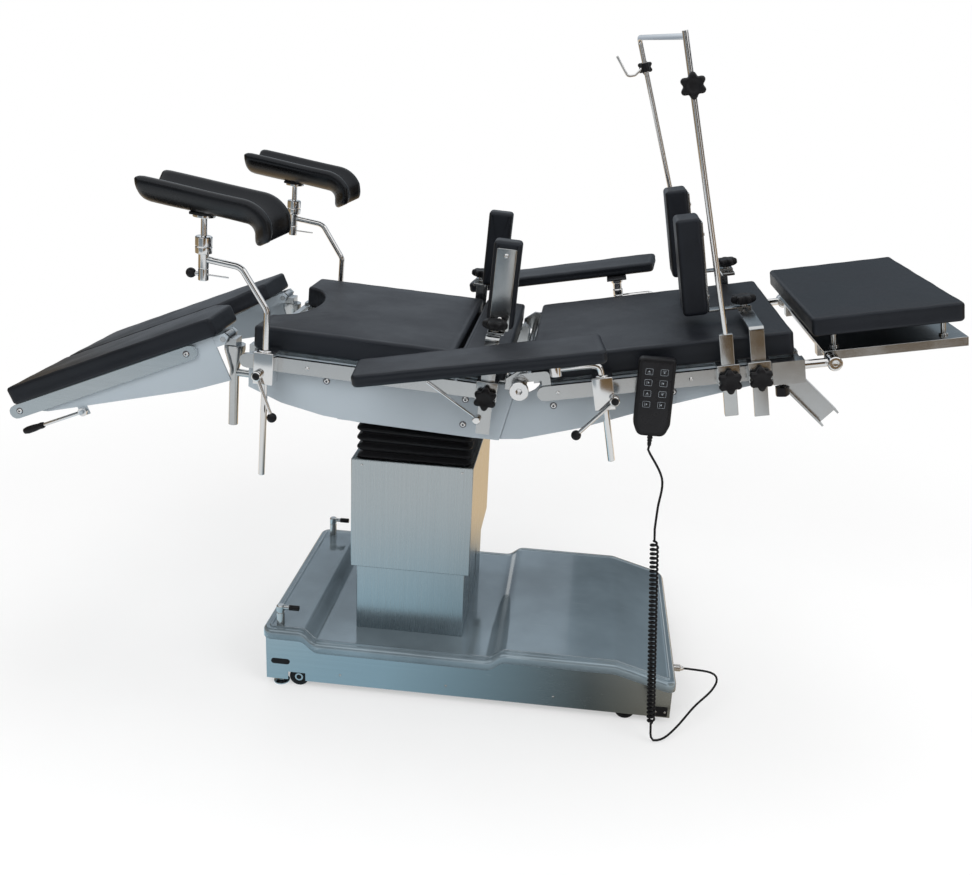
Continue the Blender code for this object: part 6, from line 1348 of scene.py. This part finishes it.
def build_hand_control():
    """The hand control: a slab with round edges, a membrane with eight keys that carry plain symbols,
    the rail hook and the ribbed strain relief."""
    shell = Shell(HAND)
    outline = [(-0.036, 0.040), (0.036, 0.040), (0.036, -0.094), (0.026, -0.118), (-0.026, -0.118),
               (-0.036, -0.094)]
    corners = np.array([0.011, 0.011, 0.030, 0.016, 0.016, 0.030])
    line = soften(outline, corners, 8)
    plate(shell, line, "Y", -0.2973, -0.2735, "knob", 0.0045)
    face = shrink(spread(line, 160), 0.0075)
    plate(shell, face, "Y", -0.2976, -0.2960, "membrane", 0.0003)
    for row, z in enumerate(KEY_ROWS):
        for x in (-0.0145, 0.0145):
            key = soften(oblong(x - 0.0072, x + 0.0072, z - 0.0062, z + 0.0062), 0.0018, 4)
            plate(shell, key, "Y", -0.29795, -0.2974, "membrane", 0.0003)
            ring = spread(key, 64)
            pierced(shell, ring, shrink(ring, 0.00045), "Y", *PRINT_Y, "print", PRINT_EDGE)
            lift = 1 if x < 0 else -1
            arrow = np.array([(-0.0022, -0.0006), (0, 0.0022), (0.0022, -0.0006)]) * np.array([1, lift])
            bars = np.array([(-0.0034, -0.0032), (0.0034, -0.0032), (0.0034, -0.0027), (-0.0034, -0.0027)])
            if row % 2:
                arrow = arrow[:, ::-1]
                bars = bars[:, ::-1]
            bars = bars * np.array([1, 1 if row % 2 else lift])
            for mark in (arrow, bars):
                plate(shell, mark + (x, z), "Y", *PRINT_Y, "print", PRINT_EDGE)
    turned(shell, (0, -0.2853, -0.116), (0, 0, -1),
           [(0, 0.0066), (0.004, 0.0062), (0.0048, 0.0048), (0.0068, 0.0048), (0.0076, 0.0057),
            (0.0100, 0.0054), (0.0108, 0.0043), (0.0128, 0.0043), (0.0136, 0.0050), (0.0160, 0.0047),
            (0.0168, 0.0038), (0.0188, 0.0038), (0.0196, 0.0043), (0.0250, 0.0036), (0.0260, 0.0030),
            (0.0260, 0.0010)],
           "rubber", 28, 0.0003)
    slope = math.tan(math.radians(10.7)) * 0.014
    rise = GAP * 2 + slope
    block(shell, (-0.014, 0.014), (-0.2753, -0.255), (rise, rise + 0.004), "knob", 0.0008)
    block(shell, (-0.014, 0.014), (-0.2627, -0.255), (-0.0085, rise + 0.004), "knob", 0.0008)
    shell.make("hand_control_shown", "hand_control", ("hand_control",), "black_plastic")


# Studio

PHOTO_WIDE, PHOTO_HIGH = 972, 875
FOCUS = 974.17
MIDDLE = (498.27, 378.27)
EYE = (0.23474, -2.109, 1.351)
YAW, PITCH, ROLL = -0.0833, -0.3016, 0.0508
AIM = (0, 0, 0.6)
FLOOR_HALF = 9.0

# Each card: its name, low and high corner, and the colours of its foot and top
CARDS = (
    ("front_card_left", (-3.4, -3.0, 0.0), (-0.2, -3.2, 3.0), (0.26, 0.30, 0.33), (0.025, 0.03, 0.03)),
    ("front_card_right", (0.1, -3.2, 0.0), (2.4, -3.0, 3.0), (0.17, 0.11, 0.055), (0.02, 0.022, 0.025)),
    ("left_card", (-2.9, -2.3, 0.0), (-2.9, 2.7, 2.6), (0.34, 0.25, 0.14), (0.05, 0.06, 0.07)),
    ("right_card", (3.0, -2.2, 0.0), (3.0, 1.2, 2.6), (0.42, 0.29, 0.15), (0.05, 0.05, 0.055)),
    ("back_card_left", (-3.6, 3.1, 0.4), (0.3, 3.1, 3.6), (0.30, 0.34, 0.39), (0.86, 0.93, 1.0)),
    ("back_card_right", (0.3, 3.1, 0.4), (3.8, 3.1, 3.6), (0.10, 0.12, 0.14), (0.30, 0.36, 0.41)),
)


def build_camera():
    """The camera that the photograph was fitted with: the same place, turns and focal length."""
    ahead = Vector((math.sin(YAW) * math.cos(PITCH), math.cos(YAW) * math.cos(PITCH), math.sin(PITCH)))
    right = Vector((math.cos(YAW), -math.sin(YAW), 0))
    up = right.cross(ahead)
    across = right * math.cos(ROLL) + up * math.sin(ROLL)
    upright = up * math.cos(ROLL) - right * math.sin(ROLL)
    data = bpy.data.cameras.new("camera")
    data.sensor_width = 36
    data.lens = 36 * FOCUS / PHOTO_WIDE
    data.shift_x = (PHOTO_WIDE / 2 - MIDDLE[0]) / PHOTO_WIDE
    data.shift_y = (MIDDLE[1] - PHOTO_HIGH / 2) / PHOTO_WIDE
    data.clip_end = 60
    camera = placed("camera", data)
    camera.matrix_world = Matrix.Translation(EYE) @ Matrix((across, upright, -ahead)).transposed().to_4x4()
    bpy.context.scene.camera = camera


def soft_lamp(name, place, size, power):
    """A square soft lamp that looks at the table's middle and that mirrors don't see."""
    data = bpy.data.lights.new(name, "AREA")
    data.shape, data.size, data.energy = "SQUARE", size, power
    lamp = placed(name, data)
    lamp.location = place
    lamp.rotation_euler = (Vector(AIM) - Vector(place)).to_track_quat("-Z", "Y").to_euler()
    lamp.visible_glossy = False


def reflector(name, low, high, lower, upper):
    """A flat card that only mirrors see, between two corners: one colour at its foot, one at its top."""
    (x0, y0, z0), (x1, y1, z1) = low, high
    mesh = bpy.data.meshes.new(name)
    mesh.from_pydata([(x0, y0, z0), (x1, y1, z0), (x1, y1, z1), (x0, y0, z1)], [], [(0, 1, 2, 3)])
    card = Finish(name)
    rise = card.node("ShaderNodeSeparateXYZ", {"Vector": card.place}, "Z")
    shown = card.mix(card.between(rise, z0, z1), lower, upper)
    glow = card.node("ShaderNodeEmission", {"Color": shown, "Strength": 1.0}, "Emission")
    mesh.materials.append(card.surface(glow))
    piece = placed(name, mesh)
    piece.visible_camera = piece.visible_diffuse = piece.visible_shadow = False
    piece.visible_transmission = False


def build_world(level):
    """White where the camera, glass and mirrors look, and a lower light for all else."""
    world = bpy.data.worlds.new("studio")
    bpy.context.scene.world = world
    world.use_nodes = True
    nodes = Nodes(world.node_tree)
    camera, glass, mirror = (nodes.node("ShaderNodeLightPath", None, f"Is {kind} Ray")
                             for kind in ("Camera", "Transmission", "Glossy"))
    strength = nodes.node("ShaderNodeMapRange", {"Value": camera | glass | mirror, "To Min": level,
                                                 "To Max": 1.0}, "Result")
    back = nodes.tree.nodes["Background"]
    nodes.set(back.inputs["Color"], (1, 1, 1, 1))
    nodes.set(back.inputs["Strength"], strength)


def floor_finish():
    """Pale grey that fades to white away from the table. Mirrors see a painted reflection in it instead: near the
    table a glow that runs along X from pale blue through a dark band about X = 0.3, which is painted shade, to
    brown; warm behind the table and pale further out.
    """
    f = Finish("floor")
    far = f.node("ShaderNodeVectorMath", {0: f.place}, "Value", operation="LENGTH")
    f.feed(Base_Color=f.mix(f.noise(6, 3), (0.93, 0.93, 0.93), (0.96, 0.96, 0.96)), Roughness=0.7,
           Specular_IOR_Level=0.2)
    camera_ray = f.node("ShaderNodeLightPath", None, "Is Camera Ray")
    glossy_ray = f.node("ShaderNodeLightPath", None, "Is Glossy Ray")
    away = f.between(far, 0.9, 2.4, 0.45, 1.0) * camera_ray
    white = f.node("ShaderNodeEmission", {"Color": (1, 1, 1, 1), "Strength": 1.0}, "Emission")
    plain = Value(f, f.shader.outputs["BSDF"])
    both = f.node("ShaderNodeMixShader", {0: away, 1: plain, 2: white}, "Shader")
    # Painted reflection: colours by X near the table that only glossy rays see, with painted shade in its dark
    # band
    across = f.node("ShaderNodeSeparateXYZ", {"Vector": f.place}, "X")
    depth = f.node("ShaderNodeSeparateXYZ", {"Vector": f.place}, "Y")
    along = f.node("ShaderNodeMapRange", {"Value": across, "From Min": -1.0, "From Max": 1.0}, "Result")
    near = f.node("ShaderNodeValToRGB", {"Fac": along}, "Color",
                  stops=[(0.0, (0.56, 0.84, 1.0)), (0.42, (0.37, 0.56, 0.66)), (0.66, (0.045, 0.055, 0.05)),
                         (0.86, (0.44, 0.33, 0.20))])
    painted_reflection_tone = f.mix(f.between(far, 0.45, 1.35), near, (0.75, 0.76, 0.76))
    painted_reflection_tone = f.mix(f.between(depth, 0.25, 0.8), painted_reflection_tone, (0.84, 0.60, 0.34))
    painted_reflection_tone = f.mix(f.between(far, 1.7, 3.4), painted_reflection_tone, (0.76, 0.79, 0.81))
    # Glossy rays see the painted reflection as a glow instead of the floor
    sheen = f.node("ShaderNodeEmission", {"Color": painted_reflection_tone, "Strength": 1.0}, "Emission")
    return f.surface(f.node("ShaderNodeMixShader", {0: glossy_ray * 0.9, 1: both, 2: sheen}, "Shader"))


def build_studio(level):
    """Pale floor, even white surroundings, soft lamps and a few cards for the metal to reflect."""
    build_world(level)
    mesh = bpy.data.meshes.new("floor")
    mesh.from_pydata([(x, y, 0) for x, y in oblong(-FLOOR_HALF, FLOOR_HALF, -FLOOR_HALF, FLOOR_HALF)], [],
                     [(0, 1, 2, 3)])
    mesh.materials.append(floor_finish())
    placed("floor", mesh)
    soft_lamp("key_lamp", (-0.9, -2.7, 2.8), 2.2, 56)
    soft_lamp("fill_lamp", (2.4, -1.9, 2.2), 2.0, 38)
    soft_lamp("top_lamp", (0.2, 0.8, 3.4), 2.6, 46)
    for card in CARDS:
        reflector(*card)
    bpy.context.scene.view_settings.view_transform = "Standard"


# Sizes and colours that a user would change

def tint(name, description, default):
    """A colour property."""
    return bpy.props.FloatVectorProperty(name=name, description=description, subtype="COLOR", size=3, min=0,
                                         max=1, default=default)


def metres(name, description, default):
    """A length property."""
    return bpy.props.FloatProperty(name=name, description=description, default=default, min=0, unit="LENGTH")


class TableColours(bpy.types.PropertyGroup):
    """The colours of the table's finishes."""
    leather: tint("Cushions", "Coated leather of the flat cushions", (0.0065, 0.0075, 0.0100))
    trough: tint("Troughs", "Glossy leather of the leg troughs", (0.004, 0.004, 0.0045))
    panel: tint("Panels", "Stoved paint of the side panels", (0.335, 0.385, 0.425))
    lid: tint("Base cover", "Moulded cover over the base", (0.20, 0.255, 0.29))
    sheet: tint("Sheet steel", "Brushed sheet of the column and the skirt", (0.47, 0.505, 0.52))
    steel: tint("Steel", "Polished steel of rails and brackets", (0.56, 0.575, 0.58))
    chrome: tint("Chrome", "Plated bars, clamps and knobs", (0.57, 0.57, 0.565))
    knob: tint("Knobs", "Black moulded knobs and the hand control", (0.007, 0.007, 0.008))
    rubber: tint("Rubber", "Wheels, bellows and cords", (0.008, 0.008, 0.009))
    iron: tint("Iron", "Painted iron inside the base", (0.09, 0.09, 0.10))
    symbols: tint("Symbols", "Printed symbols of the keys", (0.27, 0.30, 0.33))


class TableSizes(bpy.types.PropertyGroup):
    """The sizes that shape the soft pieces, and the light's level."""
    crown: metres("Crown", "How far a cushion's middle stands above its edges", 0.0025)
    waist: metres("Waist", "How far a cushion's sides are drawn in between corners", 0.0014)
    level: bpy.props.FloatProperty(name="Surroundings", description="How brightly the surroundings light it",
                                   default=0.55, min=0, max=1, subtype="FACTOR")


# Operators, one for each group of pieces and one for the studio

class TABLE_OT_camera(bpy.types.Operator):
    """Put the camera where the photograph was taken from"""
    bl_idname = "table.camera"
    bl_label = "Camera"

    def execute(self, context):
        build_camera()
        return {"FINISHED"}


class TABLE_OT_cords(bpy.types.Operator):
    """Make the hand control's lead, curly cord, tail and plug"""
    bl_idname = "table.cords"
    bl_label = "Cords"

    def execute(self, context):
        build_cords()
        return {"FINISHED"}


class TABLE_OT_cushions(bpy.types.Operator):
    """Make the flat cushions"""
    bl_idname = "table.cushions"
    bl_label = "Cushions"

    def execute(self, context):
        build_cushions(context.scene.table_sizes)
        return {"FINISHED"}


class TABLE_OT_troughs(bpy.types.Operator):
    """Make the padded leg troughs"""
    bl_idname = "table.troughs"
    bl_label = "Leg troughs"

    def execute(self, context):
        build_troughs()
        return {"FINISHED"}


class TABLE_OT_base(bpy.types.Operator):
    """Make the base cover, skirt, castors and floor locks"""
    bl_idname = "table.base"
    bl_label = "Base"

    def execute(self, context):
        build_base()
        return {"FINISHED"}


class TABLE_OT_column(bpy.types.Operator):
    """Make the column covers and the bellows"""
    bl_idname = "table.column"
    bl_label = "Column"

    def execute(self, context):
        build_column()
        return {"FINISHED"}


class TABLE_OT_frames(bpy.types.Operator):
    """Dress the frames, rails and painted panels"""
    bl_idname = "table.frames"
    bl_label = "Frames and panels"

    def execute(self, context):
        build_frames()
        return {"FINISHED"}


class TABLE_OT_head(bpy.types.Operator):
    """Make the head slide and dress its tray"""
    bl_idname = "table.head"
    bl_label = "Head section"

    def execute(self, context):
        build_head()
        return {"FINISHED"}


class TABLE_OT_arm_boards(bpy.types.Operator):
    """Make the arm boards' posts and clamps"""
    bl_idname = "table.arm_boards"
    bl_label = "Arm boards"

    def execute(self, context):
        build_arm_boards()
        return {"FINISHED"}


class TABLE_OT_crutches(bpy.types.Operator):
    """Make the leg crutches' poles and clamps"""
    bl_idname = "table.crutches"
    bl_label = "Leg crutches"

    def execute(self, context):
        build_crutches()
        return {"FINISHED"}


class TABLE_OT_supports(bpy.types.Operator):
    """Make the hip and shoulder supports"""
    bl_idname = "table.supports"
    bl_label = "Side supports"

    def execute(self, context):
        build_hip_supports()
        build_shoulder_supports()
        return {"FINISHED"}


class TABLE_OT_screen(bpy.types.Operator):
    """Make the screen and its hook"""
    bl_idname = "table.screen"
    bl_label = "Screen"

    def execute(self, context):
        build_screen()
        return {"FINISHED"}


class TABLE_OT_hand_control(bpy.types.Operator):
    """Make the hand control"""
    bl_idname = "table.hand_control"
    bl_label = "Hand control"

    def execute(self, context):
        build_hand_control()
        return {"FINISHED"}


class TABLE_OT_studio(bpy.types.Operator):
    """Make the floor, the surroundings, the lamps and the reflector cards"""
    bl_idname = "table.studio"
    bl_label = "Studio"

    def execute(self, context):
        build_studio(context.scene.table_sizes.level)
        return {"FINISHED"}


OPERATORS = (TABLE_OT_camera, TABLE_OT_cords, TABLE_OT_cushions, TABLE_OT_troughs, TABLE_OT_base,
             TABLE_OT_column, TABLE_OT_frames, TABLE_OT_head, TABLE_OT_arm_boards, TABLE_OT_crutches,
             TABLE_OT_supports, TABLE_OT_screen, TABLE_OT_hand_control, TABLE_OT_studio)


class TABLE_PT_sidebar(bpy.types.Panel):
    """The table's operators, sizes and colours"""
    bl_idname = "TABLE_PT_sidebar"
    bl_label = "Operating table"
    bl_space_type = "VIEW_3D"
    bl_region_type = "UI"
    bl_category = "Table"

    def draw(self, context):
        for group in (context.scene.table_sizes, context.scene.table_colours):
            column = self.layout.column()
            for key in group.bl_rna.properties.keys():
                if key not in ("rna_type", "name"):
                    column.prop(group, key)
        column = self.layout.column()
        for operator in OPERATORS:
            column.operator(operator.bl_idname)


CLASSES = (TableColours, TableSizes, *OPERATORS, TABLE_PT_sidebar)


def register():
    """Registers the classes and hangs the two groups on the scene."""
    for each in CLASSES:
        bpy.utils.register_class(each)
    bpy.types.Scene.table_colours = bpy.props.PointerProperty(type=TableColours)
    bpy.types.Scene.table_sizes = bpy.props.PointerProperty(type=TableSizes)


def unregister():
    """Takes the groups off the scene and the classes out again."""
    del bpy.types.Scene.table_sizes
    del bpy.types.Scene.table_colours
    for each in reversed(CLASSES):
        bpy.utils.unregister_class(each)


def main():
    register()
    bpy.ops.table.camera()
    bpy.ops.table.cords()
    bpy.ops.table.cushions()
    bpy.ops.table.troughs()
    bpy.ops.table.base()
    bpy.ops.table.column()
    bpy.ops.table.frames()
    bpy.ops.table.head()
    bpy.ops.table.arm_boards()
    bpy.ops.table.crutches()
    bpy.ops.table.supports()
    bpy.ops.table.screen()
    bpy.ops.table.hand_control()
    bpy.ops.table.studio()


if __name__ == "__main__":
    main()
